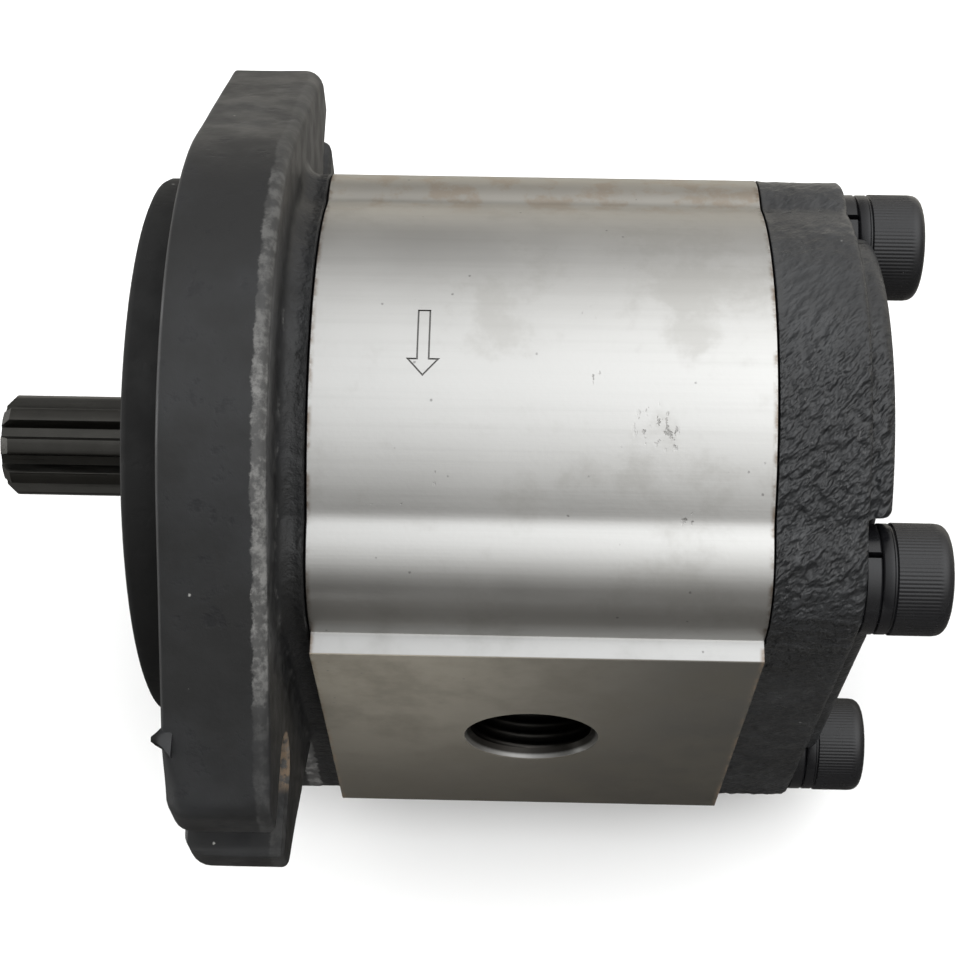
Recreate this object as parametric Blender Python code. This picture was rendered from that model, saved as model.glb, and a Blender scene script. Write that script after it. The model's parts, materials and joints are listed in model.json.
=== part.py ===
"""Hydraulic gear pump: two meshing gears in an extruded body between two cast covers.

The pump frame has +X along the drive shaft towards the rear cover, +Z up and -Y out of the
inlet port. Its origin is where the shaft axis meets the mounting face. Every part is parented
to the empty pump_frame, which stands the pump on z = 0 with its bounding box centred in X and Y.
All sizes below are in millimetres.
"""

import math

import bmesh
import bpy
from mathutils import Matrix, Vector

MM = 0.001

# Gears
TEETH = 12
MODULE = 3.0
PRESSURE_ANGLE = math.radians(25.0)
BACKLASH = 0.2
GEAR_WIDTH = 19.9
GEAR_SPACING = TEETH * MODULE
TIP_RADIUS = (TEETH / 2 + 1.0) * MODULE
ROOT_RADIUS = (TEETH / 2 - 1.25) * MODULE

# Stations along X
SHAFT_TIP = -31.75
PILOT_HEIGHT = 6.35
FLANGE_THICKNESS = 14.75
LOBE_FRONT = 1.5
BODY_FRONT = 18.5
BODY_REAR = 82.75
BODY_MIDDLE = (BODY_FRONT + BODY_REAR) / 2
COVER_REAR = 95.75
CROWN_REAR = 99.75
SEAM = 0.25

# Outline shared by the body and both covers
CENTRE_Z = -GEAR_SPACING / 2
END_RADIUS = 39.0
CREASE_ANGLE = math.radians(48.0)
SIDE_Y = 37.2
BULGE_Z = 15.0
PORT_FACE_Y = 40.4
PORT_PAD_HALF = 32.8
LEDGE_RISE = 0.4
CROWN_RADIUS = 34.8
CROWN_SIDE_Y = 32.2
SCREW_SEAT_RADIUS = 10.5
FLANGE_EDGE = 0.9
COVER_EDGE = 0.8
CROWN_EDGE = 1.5

# Two-bolt mounting flange
PILOT_RADIUS = 41.275
FLANGE_RADIUS = 49.5
EAR_END_Y = 64.0
EAR_HALF_WIDTH = 13.0
EAR_CORNER = 3.5
SLOT_CENTRE_Y = 53.2
SLOT_HALF_WIDTH = 5.55

# Ports
PORT_RADIUS = 9.5
PORT_MOUTH_RADIUS = 10.5
PORT_MOUTH_DEPTH = 1.6

# Screws, washers and dowels
SCREW_Y = 28.0
SCREW_HALF_Z = 34.75
SCREW_RADIUS = 4.9
SCREW_HOLE_RADIUS = 5.3
SCREW_TIP = 5.0
SCREW_HEAD_RADIUS = 8.0
SCREW_HEAD_HEIGHT = 10.0
HEX_SOCKET_FLATS = 8.0
HEX_SOCKET_DEPTH = 5.6
WASHER_THICKNESS = 2.3
WASHER_INNER = 5.2
WASHER_OUTER = 7.9
WASHER_SPLIT = 0.9
HEAD_SEAT = COVER_REAR + 2.5
DOWEL_Y = 31.5
DOWEL_RADIUS = 2.5
DOWEL_LENGTH = 14.0
DOWEL_CLEARANCE = 0.1
DOWEL_END_GAP = 0.4

# Shaft, bearings and seals
JOURNAL_RADIUS = 9.5
SPLINE_TEETH = 9
SPLINE_MAJOR = 7.75
SPLINE_MINOR = 6.1
SPLINE_END = -8.0
BUSH_INNER = 9.58
BUSH_OUTER = 11.4
BLOCK_BORE = 11.5
BLOCK_RADIUS = 21.0
CHAMBER_RADIUS = 21.1
BLOCK_GAP = 0.06
SEAL_BORE = 17.5
SEAL_FRONT = -2.5
SEAL_SEAT = 6.0
RING_FRONT = -4.15
RING_REAR = -3.05
RING_GAP_ANGLE = math.radians(24.0)
COVER_BORE = 10.0
SEAL_BAND_OUTER = 20.1
SEAL_BAND_INNER = 18.3
SEAL_BAND_CLEARANCE = 0.2
BODY_SEAL_RADIUS = 24.5
BODY_SEAL_SECTION = 1.05
BODY_SEAL_DEPTH = 1.15
GROOVE_HALF_WIDTH = 1.4
GROOVE_DEPTH = 2.3

FINE = 60
ROUND = 32
SMALL = 20

BLACK_PAINT = ("black_paint", (0.018, 0.018, 0.019), 0.5, 0.0)
BARE_ALUMINIUM = ("bare_aluminium", (0.55, 0.55, 0.53), 0.38, 1.0)
DARK_STEEL = ("dark_steel", (0.07, 0.065, 0.06), 0.4, 0.9)
BLACK_OXIDE = ("black_oxide", (0.03, 0.03, 0.032), 0.35, 0.8)
CAST_ALUMINIUM = ("cast_aluminium", (0.6, 0.6, 0.6), 0.5, 1.0)
BRONZE = ("bronze_lining", (0.5, 0.33, 0.18), 0.4, 1.0)
BLACK_RUBBER = ("black_rubber", (0.02, 0.02, 0.02), 0.8, 0.0)
WHITE_PLASTIC = ("white_plastic", (0.75, 0.75, 0.72), 0.5, 0.0)
GROUND_STEEL = ("ground_steel", (0.5, 0.5, 0.5), 0.25, 1.0)


# ---------------------------------------------------------------- scene helpers


def clear_scene():
    for obj in list(bpy.data.objects):
        bpy.data.objects.remove(obj, do_unlink=True)


def material(look):
    name, colour, roughness, metallic = look
    made = bpy.data.materials.get(name)
    if made is None:
        made = bpy.data.materials.new(name)
        made.use_nodes = True
        shader = made.node_tree.nodes["Principled BSDF"]
        shader.inputs["Base Color"].default_value = (*colour, 1.0)
        shader.inputs["Roughness"].default_value = roughness
        shader.inputs["Metallic"].default_value = metallic
    return made


def make_frame():
    """The pump frame, placed so that the pump stands on z = 0 with its box centred in X and Y."""
    frame = bpy.data.objects.new("pump_frame", None)
    middle_x = (SHAFT_TIP + HEAD_SEAT + SCREW_HEAD_HEIGHT) / 2
    lowest_z = -GEAR_SPACING - END_RADIUS
    frame.location = Vector((-middle_x, 0.0, -lowest_z)) * MM
    bpy.context.collection.objects.link(frame)
    return frame


def add_object(name, mesh_maker, place=(0.0, 0.0, 0.0)):
    """A mesh object from a bmesh in millimetres, with its origin at place in the pump frame."""
    bmesh.ops.remove_doubles(mesh_maker, verts=mesh_maker.verts, dist=1e-5)
    bmesh.ops.recalc_face_normals(mesh_maker, faces=mesh_maker.faces)
    bmesh.ops.scale(mesh_maker, vec=(MM, MM, MM), verts=mesh_maker.verts)
    mesh = bpy.data.meshes.new(name)
    mesh_maker.to_mesh(mesh)
    mesh_maker.free()
    obj = bpy.data.objects.new(name, mesh)
    obj.location = Vector(place) * MM
    bpy.context.collection.objects.link(obj)
    obj.parent = bpy.data.objects["pump_frame"]
    return obj


def finish(obj, look, sharp_angle=35.0):
    obj.data.materials.append(material(look))
    obj.data.shade_smooth()
    obj.data.set_sharp_from_angle(angle=math.radians(sharp_angle))
    return obj


def as_cutter(obj):
    obj.hide_render = True
    obj.display_type = "WIRE"
    return obj


def combine(target, other, operation):
    boolean = target.modifiers.new(f"{operation.lower()}_{other.name}", "BOOLEAN")
    boolean.operation = operation
    boolean.solver = "EXACT"
    boolean.object = as_cutter(other)


def cut(target, cutter):
    combine(target, cutter, "DIFFERENCE")


def join(target, other):
    combine(target, other, "UNION")


def bevel_rims(obj, width, segments=1, angle=50.0):
    """Rounds or chamfers the edges where a flat end meets the wall round it."""
    bevel = obj.modifiers.new("rims", "BEVEL")
    bevel.width = width * MM
    bevel.segments = segments
    bevel.limit_method = "ANGLE"
    bevel.angle_limit = math.radians(angle)


# ---------------------------------------------------------------- outlines, as (y, z) points


def arc(centre, radius, start, end, steps):
    """Points on an arc from angle start to angle end, both included, in radians from +Y."""
    angles = [start + (end - start) * i / steps for i in range(steps + 1)]
    return [(centre[0] + radius * math.cos(a), centre[1] + radius * math.sin(a)) for a in angles]


def mirrored_quarter(quarter):
    """A closed outline from its upper +Y quarter, listed from the top to the side."""
    upper = quarter + [(y, 2 * CENTRE_Z - z) for y, z in reversed(quarter)]
    other_side = [(-y, z) for y, z in reversed(upper) if abs(y) > 1e-9]
    return upper + other_side


def upper_quarter(bulge_end_z):
    """From the top centre: the end arc, the crease, then the bulge round the screw."""
    crease_y = END_RADIUS * math.cos(CREASE_ANGLE)
    crease_z = END_RADIUS * math.sin(CREASE_ANGLE)
    rise = crease_z - BULGE_Z
    step = SIDE_Y - crease_y
    bulge_radius = (step**2 + rise**2) / (2 * step)
    bulge_y = SIDE_Y - bulge_radius
    bulge_start = math.atan2(rise, crease_y - bulge_y)
    bulge_end = math.asin((bulge_end_z - BULGE_Z) / bulge_radius)
    end_arc = arc((0.0, 0.0), END_RADIUS, math.pi / 2, CREASE_ANGLE, 9)
    bulge = arc((bulge_y, BULGE_Z), bulge_radius, bulge_start, bulge_end, 8)
    return end_arc + bulge[1:]


def cover_outline():
    return mirrored_quarter(upper_quarter(BULGE_Z))


def body_outline():
    """The covers' outline with a raised port pad on each side, below a ledge that faces up."""
    pad_top = CENTRE_Z + PORT_PAD_HALF
    return mirrored_quarter(upper_quarter(pad_top + LEDGE_RISE) + [(PORT_FACE_Y, pad_top)])


def crown_outline():
    """The rear cover's raised middle: a stadium that keeps inside the rim."""
    corner = math.acos(CROWN_SIDE_Y / CROWN_RADIUS)
    return mirrored_quarter(arc((0.0, 0.0), CROWN_RADIUS, math.pi / 2, corner, 14))


def flange_outline():
    """A round plate drawn out into two ears by tangent lines."""
    reach = math.hypot(EAR_END_Y, EAR_HALF_WIDTH)
    tangent = math.atan2(EAR_HALF_WIDTH, EAR_END_Y) + math.acos(FLANGE_RADIUS / reach)
    round_part = arc((0.0, 0.0), FLANGE_RADIUS, math.pi / 2, tangent, 6)
    slope = tangent - math.pi / 2
    along = (math.cos(slope), math.sin(slope))
    before_corner = (EAR_END_Y - EAR_CORNER * along[0], EAR_HALF_WIDTH - EAR_CORNER * along[1])
    corner = [before_corner, (EAR_END_Y, EAR_HALF_WIDTH - EAR_CORNER)]
    quarter = round_part + corner
    upper = quarter + [(y, -z) for y, z in reversed(quarter)]
    return upper + [(-y, z) for y, z in reversed(upper) if abs(y) > 1e-9]


def slot_outline(side):
    """A U-slot open at the ear's end."""
    open_end = EAR_END_Y + 5.0
    inner = arc((SLOT_CENTRE_Y, 0.0), SLOT_HALF_WIDTH, math.pi / 2, 3 * math.pi / 2, 12)
    points = [(open_end, SLOT_HALF_WIDTH), *inner, (open_end, -SLOT_HALF_WIDTH)]
    return [(side * y, z) for y, z in points]


def stadium(radius, steps=14):
    """Two half circles round the gear centres, joined by straight sides."""
    top = arc((0.0, 0.0), radius, 0.0, math.pi, steps)
    bottom = arc((0.0, -GEAR_SPACING), radius, math.pi, 2 * math.pi, steps)
    return top + bottom


def figure_eight(radius):
    """Two overlapping circles round the gear centres."""
    waist = math.asin(GEAR_SPACING / 2 / radius)
    top = arc((0.0, 0.0), radius, -waist, math.pi + waist, 28)
    bottom = arc((0.0, -GEAR_SPACING), radius, math.pi - waist, 2 * math.pi + waist, 28)
    return top[:-1] + bottom[:-1]


def figure_three(radius, inner_radius):
    """The open band that a pressure seal follows round the outlet side."""
    waist = math.asin(GEAR_SPACING / 2 / radius)
    inner_waist = math.asin(GEAR_SPACING / 2 / inner_radius)
    reach = math.radians(80.0)
    outer = arc((0.0, 0.0), radius, reach, -waist, 12)
    outer += arc((0.0, -GEAR_SPACING), radius, waist, -reach, 12)[1:]
    inner = arc((0.0, -GEAR_SPACING), inner_radius, -reach, inner_waist, 12)
    inner += arc((0.0, 0.0), inner_radius, -inner_waist, reach, 12)[1:]
    return outer + inner


def involute(angle):
    return math.tan(angle) - angle


def gear_outline():
    """Involute teeth, the first one centred on +Y."""
    pitch_radius = TEETH * MODULE / 2
    base_radius = pitch_radius * math.cos(PRESSURE_ANGLE)
    half_pitch_angle = (math.pi * MODULE / 2 - BACKLASH) / 2 / pitch_radius
    half_base_angle = half_pitch_angle + involute(PRESSURE_ANGLE)
    flank = []
    steps = 4
    for i in range(steps + 1):
        radius = base_radius + (TIP_RADIUS - base_radius) * i / steps
        turn = half_base_angle - involute(math.acos(base_radius / radius))
        flank.append((radius, turn))
    root_turn = half_base_angle + 0.02
    half_tooth = [(ROOT_RADIUS, root_turn + 0.06), (ROOT_RADIUS + 0.7, root_turn), *flank]
    points = []
    for tooth in range(TEETH):
        middle = 2 * math.pi * tooth / TEETH
        rising = [(r, middle - turn) for r, turn in half_tooth]
        falling = [(r, middle + turn) for r, turn in reversed(half_tooth)]
        points += rising + falling
    return [(r * math.cos(a), r * math.sin(a)) for r, a in points]


def spline_outline():
    """Straight-flanked spline teeth, the first one centred on +Y."""
    half_tip = math.radians(8.5)
    half_root = math.radians(12.5)
    points = []
    for tooth in range(SPLINE_TEETH):
        middle = 2 * math.pi * tooth / SPLINE_TEETH
        turns = (
            (SPLINE_MINOR, -half_root),
            (SPLINE_MAJOR, -half_tip),
            (SPLINE_MAJOR + 0.02, 0.0),
            (SPLINE_MAJOR, half_tip),
            (SPLINE_MINOR, half_root),
        )
        points += [(r, middle + turn) for r, turn in turns]
    return [(r * math.cos(a), r * math.sin(a)) for r, a in points]


def hexagon(across_flats):
    return arc((0.0, 0.0), across_flats / math.sqrt(3.0), math.pi / 6, 11 * math.pi / 6, 5)


# ---------------------------------------------------------------- solids, in the pump frame


def prism(outline, start, end, into=None):
    """An outline in Y and Z drawn out along X."""
    mesh_maker = into or bmesh.new()
    near = [mesh_maker.verts.new((start, y, z)) for y, z in outline]
    face = mesh_maker.faces.new(near)
    drawn = bmesh.ops.extrude_face_region(mesh_maker, geom=[face])
    moved = [v for v in drawn["geom"] if isinstance(v, bmesh.types.BMVert)]
    bmesh.ops.translate(mesh_maker, vec=(end - start, 0.0, 0.0), verts=moved)
    return mesh_maker


def circle(radius, segments=ROUND, centre=(0.0, 0.0)):
    return arc(centre, radius, 0.0, 2 * math.pi * (segments - 1) / segments, segments - 1)


def turned(profile, segments=ROUND):
    """A solid of revolution about X from a closed (x, radius) profile."""
    mesh_maker = bmesh.new()
    ring = [mesh_maker.verts.new((x, radius, 0.0)) for x, radius in profile]
    edges = [mesh_maker.edges.new((a, b)) for a, b in zip(ring, ring[1:] + ring[:1])]
    bmesh.ops.spin(
        mesh_maker,
        geom=ring + edges,
        cent=(0.0, 0.0, 0.0),
        axis=(1.0, 0.0, 0.0),
        angle=2 * math.pi,
        steps=segments,
        use_merge=True,
    )
    return mesh_maker


def tube_ring(path, section, depth, sides=6):
    """A round-section ring along a closed path in Y and Z, at one depth along X."""
    mesh_maker = bmesh.new()
    loops = []
    count = len(path)
    for i, (y, z) in enumerate(path):
        before = path[i - 1]
        after = path[(i + 1) % count]
        along = Vector((after[0] - before[0], after[1] - before[1])).normalized()
        out = (along.y, -along.x)
        loop = []
        for side in range(sides):
            turn = 2 * math.pi * side / sides
            reach = section * math.cos(turn)
            point = (depth + section * math.sin(turn), y + out[0] * reach, z + out[1] * reach)
            loop.append(mesh_maker.verts.new(point))
        loops.append(loop)
    for loop, following in zip(loops, loops[1:] + loops[:1]):
        for side in range(sides):
            nearby = (side + 1) % sides
            mesh_maker.faces.new((loop[side], loop[nearby], following[nearby], following[side]))
    return mesh_maker


def screw_places():
    """The four screw axes, upper pair first."""
    return [(y, CENTRE_Z + dz) for dz in (SCREW_HALF_Z, -SCREW_HALF_Z) for y in (-SCREW_Y, SCREW_Y)]


def dowel_places():
    return [(-DOWEL_Y, CENTRE_Z), (DOWEL_Y, CENTRE_Z)]


def hole_cutter(name, places, radius, start, end, segments=SMALL):
    mesh_maker = bmesh.new()
    for place in places:
        prism(circle(radius, segments, place), start, end, mesh_maker)
    return add_object(name, mesh_maker)


def screw_hole_cutter(name, start, end):
    return hole_cutter(name, screw_places(), SCREW_HOLE_RADIUS, start, end)


def dowel_hole_cutter(name, face, direction):
    start = face - direction * 1.0
    end = face + direction * (DOWEL_LENGTH / 2 + DOWEL_END_GAP)
    return hole_cutter(name, dowel_places(), DOWEL_RADIUS + DOWEL_CLEARANCE, start, end)


def groove_cutter(name, face, direction):
    """The body seal's groove, as a ring between two stadiums."""
    mesh_maker = bmesh.new()
    outer = stadium(BODY_SEAL_RADIUS + GROOVE_HALF_WIDTH)
    inner = stadium(BODY_SEAL_RADIUS - GROOVE_HALF_WIDTH)
    levels = (face - direction * 1.0, face + direction * GROOVE_DEPTH)
    rings = [[mesh_maker.verts.new((x, y, z)) for y, z in ring] for x in levels for ring in (outer, inner)]
    walls = ((0, 1), (1, 3), (3, 2), (2, 0))
    count = len(outer)
    for first, second in walls:
        for i in range(count):
            j = (i + 1) % count
            quad = (rings[first][i], rings[first][j], rings[second][j], rings[second][i])
            mesh_maker.faces.new(quad)
    return add_object(name, mesh_maker)


# ---------------------------------------------------------------- housing parts


def make_front_cover():
    """Flange plate, pilot and the thicker lobes that take the screws, in one casting."""
    cover = add_object("front_cover", prism(flange_outline(), 0.0, FLANGE_THICKNESS))
    bevel_rims(cover, FLANGE_EDGE)
    lobes = add_object("front_cover_lobes", prism(cover_outline(), LOBE_FRONT, BODY_FRONT))
    join(cover, lobes)
    pilot_profile = (
        (5.0, 0.0),
        (5.0, PILOT_RADIUS),
        (1.0 - PILOT_HEIGHT, PILOT_RADIUS),
        (-PILOT_HEIGHT, PILOT_RADIUS - 1.0),
        (-PILOT_HEIGHT, 0.0),
    )
    join(cover, add_object("front_cover_pilot", turned(pilot_profile, FINE)))
    for side, label in ((1, "far"), (-1, "near")):
        slot = prism(slot_outline(side), -5.0, FLANGE_THICKNESS + 5.0)
        cut(cover, add_object(f"{label}_slot_cutter", slot))
    ring_clearance = 0.15
    shaft_way_profile = (
        (-PILOT_HEIGHT - 2.0, 0.0),
        (-PILOT_HEIGHT - 2.0, SEAL_BORE),
        (RING_FRONT - ring_clearance, SEAL_BORE),
        (RING_FRONT - ring_clearance, SEAL_BORE + 1.0),
        (RING_REAR + ring_clearance, SEAL_BORE + 1.0),
        (RING_REAR + ring_clearance, SEAL_BORE),
        (SEAL_SEAT, SEAL_BORE),
        (SEAL_SEAT, COVER_BORE),
        (BODY_FRONT + 2.0, COVER_BORE),
        (BODY_FRONT + 2.0, 0.0),
    )
    cut(cover, add_object("shaft_way_cutter", turned(shaft_way_profile)))
    cut(cover, screw_hole_cutter("front_screw_hole_cutter", SCREW_TIP - 1.0, BODY_FRONT + 2.0))
    cut(cover, dowel_hole_cutter("front_cover_dowel_cutter", BODY_FRONT, -1))
    cut(cover, groove_cutter("front_groove_cutter", BODY_FRONT, -1))
    return finish(cover, BLACK_PAINT)


def port_cutter(side, name):
    """A port from its face to the gear chamber, with a chamfered mouth."""
    mouth = PORT_FACE_Y - PORT_MOUTH_DEPTH
    profile = (
        (0.0, 0.0),
        (0.0, PORT_RADIUS),
        (mouth, PORT_RADIUS),
        (PORT_FACE_Y, PORT_MOUTH_RADIUS),
        (PORT_FACE_Y + 2.0, PORT_MOUTH_RADIUS),
        (PORT_FACE_Y + 2.0, 0.0),
    )
    mesh_maker = turned(profile, 40)
    turn = Matrix.Rotation(side * math.pi / 2, 3, "Z")
    bmesh.ops.rotate(mesh_maker, cent=(0.0, 0.0, 0.0), matrix=turn, verts=mesh_maker.verts)
    return add_object(name, mesh_maker, (BODY_MIDDLE, 0.0, CENTRE_Z))


def make_pump_body():
    body = add_object("pump_body", prism(body_outline(), BODY_FRONT + SEAM, BODY_REAR))
    chamber = prism(figure_eight(CHAMBER_RADIUS), BODY_FRONT - 2.0, BODY_REAR + 2.0)
    cut(body, add_object("chamber_cutter", chamber))
    cut(body, port_cutter(-1, "inlet_port_cutter"))
    cut(body, port_cutter(1, "outlet_port_cutter"))
    cut(body, screw_hole_cutter("body_screw_hole_cutter", BODY_FRONT - 2.0, BODY_REAR + 2.0))
    cut(body, dowel_hole_cutter("body_front_dowel_cutter", BODY_FRONT, 1))
    cut(body, dowel_hole_cutter("body_rear_dowel_cutter", BODY_REAR, -1))
    return finish(body, BARE_ALUMINIUM)


def make_rear_cover():
    """A plate with a raised middle, which leaves a flat seat round each screw."""
    cover = add_object("rear_cover", prism(cover_outline(), BODY_REAR + SEAM, COVER_REAR))
    bevel_rims(cover, COVER_EDGE, angle=60.0)
    crown = add_object("rear_cover_crown", prism(crown_outline(), COVER_REAR - 3.0, CROWN_REAR))
    bevel_rims(crown, CROWN_EDGE, segments=2, angle=60.0)
    join(cover, crown)
    seat_end = CROWN_REAR + 3.0
    cut(cover, hole_cutter("seat_cutter", screw_places(), SCREW_SEAT_RADIUS, COVER_REAR, seat_end, 32))
    cut(cover, screw_hole_cutter("rear_screw_hole_cutter", BODY_REAR - 2.0, COVER_REAR + 2.0))
    cut(cover, dowel_hole_cutter("rear_cover_dowel_cutter", BODY_REAR, 1))
    cut(cover, groove_cutter("rear_groove_cutter", BODY_REAR + SEAM, 1))
    return finish(cover, BLACK_PAINT)


# ---------------------------------------------------------------- moving parts


def gear_faces():
    """Where both gears start and end along X."""
    return BODY_MIDDLE - GEAR_WIDTH / 2, BODY_MIDDLE + GEAR_WIDTH / 2


def journal_profile(start, end):
    """A plain journal with a small chamfer at each end."""
    chamfer = 0.6
    return (
        (start, 0.0),
        (start, JOURNAL_RADIUS - chamfer),
        (start + chamfer, JOURNAL_RADIUS),
        (end - chamfer, JOURNAL_RADIUS),
        (end, JOURNAL_RADIUS - chamfer),
        (end, 0.0),
    )


def make_drive_shaft():
    """Splined end, journals and driving gear, cut from one bar. Its origin is on its axis."""
    start, end = gear_faces()
    shaft = add_object("drive_shaft", prism(gear_outline(), start, end))
    journal = turned(journal_profile(SPLINE_END, BODY_REAR - 1.0))
    join(shaft, add_object("drive_journal", journal))
    spline = add_object("drive_spline", prism(spline_outline(), SHAFT_TIP, SPLINE_END + 2.0))
    tip_profile = (
        (SHAFT_TIP, 0.0),
        (SHAFT_TIP, SPLINE_MAJOR - 1.3),
        (SHAFT_TIP + 1.5, SPLINE_MAJOR + 0.1),
        (SPLINE_END + 3.0, SPLINE_MAJOR + 0.1),
        (SPLINE_END + 3.0, 0.0),
    )
    tip = add_object("spline_envelope", turned(tip_profile))
    combine(spline, tip, "INTERSECT")
    join(shaft, spline)
    return finish(shaft, DARK_STEEL)


def make_driven_gear():
    """The driven gear on its own short shaft, turned half a tooth to mesh with the driving gear."""
    start, end = gear_faces()
    half_tooth = math.pi / TEETH
    turned_outline = []
    for y, z in gear_outline():
        turned_y = y * math.cos(half_tooth) - z * math.sin(half_tooth)
        turned_z = y * math.sin(half_tooth) + z * math.cos(half_tooth)
        turned_outline.append((turned_y, turned_z))
    place = (0.0, 0.0, -GEAR_SPACING)
    gear = add_object("driven_gear", prism(turned_outline, start, end), place)
    journal = turned(journal_profile(BODY_FRONT + 1.0, BODY_REAR - 1.0))
    join(gear, add_object("driven_journal", journal, place))
    return finish(gear, GROUND_STEEL)


# ---------------------------------------------------------------- bearings and seals


def make_bearing_block(name, start, end, seal_face, direction):
    """A figure-of-eight block that carries both journals and holds the pressure seal."""
    block = add_object(name, prism(figure_eight(BLOCK_RADIUS), start, end))
    centres = [(0.0, 0.0), (0.0, -GEAR_SPACING)]
    bores = hole_cutter(f"{name}_bore_cutter", centres, BLOCK_BORE, start - 2.0, end + 2.0, ROUND)
    cut(block, bores)
    seal_seat = figure_three(SEAL_BAND_OUTER + SEAL_BAND_CLEARANCE, SEAL_BAND_INNER - SEAL_BAND_CLEARANCE)
    groove = prism(seal_seat, seal_face - direction * 2.0, seal_face + direction * 2.6)
    cut(block, add_object(f"{name}_seal_cutter", groove))
    return finish(block, CAST_ALUMINIUM)


def make_pressure_seal(name, seal_face, direction):
    """The rubber seal in the block's groove, and behind it the plastic ring that backs it up."""
    band = figure_three(SEAL_BAND_OUTER, SEAL_BAND_INNER)
    rubber = prism(band, seal_face + direction * 1.3, seal_face + direction * 2.4)
    finish(add_object(f"{name}_pressure_seal", rubber), BLACK_RUBBER)
    plastic = prism(band, seal_face + direction * 0.1, seal_face + direction * 1.1)
    finish(add_object(f"{name}_backup_ring", plastic), WHITE_PLASTIC)


def make_bush(name, start, end, z):
    """A thin-walled plain bearing."""
    profile = ((start, BUSH_INNER), (start, BUSH_OUTER), (end, BUSH_OUTER), (end, BUSH_INNER))
    return finish(add_object(name, turned(profile), (0.0, 0.0, z)), BRONZE)


def make_bearings():
    gear_start, gear_end = gear_faces()
    front = (BODY_FRONT + 0.3, gear_start - BLOCK_GAP)
    rear = (gear_end + BLOCK_GAP, BODY_REAR - 0.05)
    make_bearing_block("front_bearing_block", *front, front[0], 1)
    make_bearing_block("rear_bearing_block", *rear, rear[1], -1)
    make_pressure_seal("front", front[0], 1)
    make_pressure_seal("rear", rear[1], -1)
    for label, (start, end) in (("front", front), ("rear", rear)):
        for shaft, z in (("drive", 0.0), ("driven", -GEAR_SPACING)):
            make_bush(f"{label}_{shaft}_bush", start + 0.8, end - 0.8, z)


def make_body_seals():
    """A round-section ring in each cover's groove, seated clear of the body."""
    path = stadium(BODY_SEAL_RADIUS)
    front = BODY_FRONT - BODY_SEAL_DEPTH
    rear = BODY_REAR + SEAM + BODY_SEAL_DEPTH
    for label, depth in (("front", front), ("rear", rear)):
        ring = tube_ring(path, BODY_SEAL_SECTION, depth)
        finish(add_object(f"{label}_body_seal", ring), BLACK_RUBBER, 60.0)


def make_shaft_seal():
    """A lip seal in the pilot's bore: a flat front, an outer wall and a lip towards the shaft."""
    rear = SEAL_SEAT - 0.2
    outer = SEAL_BORE - 0.1
    lip_inner = JOURNAL_RADIUS + 0.15
    lip_end = 3.5
    web = 1.1
    profile = (
        (SEAL_FRONT, JOURNAL_RADIUS + 4.5),
        (SEAL_FRONT, outer),
        (rear, outer),
        (rear, outer - 2.4),
        (0.0, outer - 2.4),
        (0.0, JOURNAL_RADIUS + 2.5),
        (lip_end, JOURNAL_RADIUS + 1.6),
        (lip_end, lip_inner),
        (lip_end - 1.0, lip_inner),
        (SEAL_FRONT + 1.5, JOURNAL_RADIUS + 1.2),
        (SEAL_FRONT + web, JOURNAL_RADIUS + 4.5),
    )
    return finish(add_object("shaft_seal", turned(profile)), BLACK_RUBBER)


def split_ring_outline(inner, outer, split_angle):
    """A flat ring with a gap that opens towards +Z."""
    steps = 24
    start = math.pi / 2 + split_angle / 2
    end = math.pi / 2 + 2 * math.pi - split_angle / 2
    outside = arc((0.0, 0.0), outer, start, end, steps)
    inside = arc((0.0, 0.0), inner, end, start, steps)
    return outside + inside


def make_retaining_ring():
    """The spring ring that keeps the shaft seal in its bore."""
    outline = split_ring_outline(SEAL_BORE - 2.2, SEAL_BORE + 0.8, RING_GAP_ANGLE)
    return finish(add_object("seal_retaining_ring", prism(outline, RING_FRONT, RING_REAR)), GROUND_STEEL)


# ---------------------------------------------------------------- fasteners


def make_dowels():
    """Two dowels at each seam, half in the cover and half in the body."""
    chamfer = 0.6
    half = DOWEL_LENGTH / 2
    profile = (
        (-half, 0.0),
        (-half, DOWEL_RADIUS - chamfer),
        (chamfer - half, DOWEL_RADIUS),
        (half - chamfer, DOWEL_RADIUS),
        (half, DOWEL_RADIUS - chamfer),
        (half, 0.0),
    )
    number = 0
    for seam in (BODY_FRONT, BODY_REAR):
        for y, z in dowel_places():
            number += 1
            place = (seam + SEAM / 2, y, z)
            finish(add_object(f"dowel_{number}", turned(profile, SMALL), place), GROUND_STEEL)


def make_cap_screws():
    """Socket-head screws from the rear cover into the front cover."""
    shank = SCREW_TIP - HEAD_SEAT
    head_chamfer = 1.0
    profile = (
        (shank, 0.0),
        (shank, SCREW_RADIUS - 1.0),
        (shank + 1.0, SCREW_RADIUS),
        (0.0, SCREW_RADIUS),
        (0.0, SCREW_HEAD_RADIUS - 0.3),
        (0.3, SCREW_HEAD_RADIUS),
        (SCREW_HEAD_HEIGHT - head_chamfer, SCREW_HEAD_RADIUS),
        (SCREW_HEAD_HEIGHT - 0.3, SCREW_HEAD_RADIUS - 0.4),
        (SCREW_HEAD_HEIGHT, SCREW_HEAD_RADIUS - head_chamfer),
        (SCREW_HEAD_HEIGHT, 0.0),
    )
    socket_start = SCREW_HEAD_HEIGHT - HEX_SOCKET_DEPTH
    for number, (y, z) in enumerate(screw_places(), 1):
        place = (HEAD_SEAT, y, z)
        screw = add_object(f"cap_screw_{number}", turned(profile, 24), place)
        socket = prism(hexagon(HEX_SOCKET_FLATS), socket_start, SCREW_HEAD_HEIGHT + 2.0)
        cut(screw, add_object(f"hex_socket_cutter_{number}", socket, place))
        finish(screw, BLACK_OXIDE)


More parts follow.
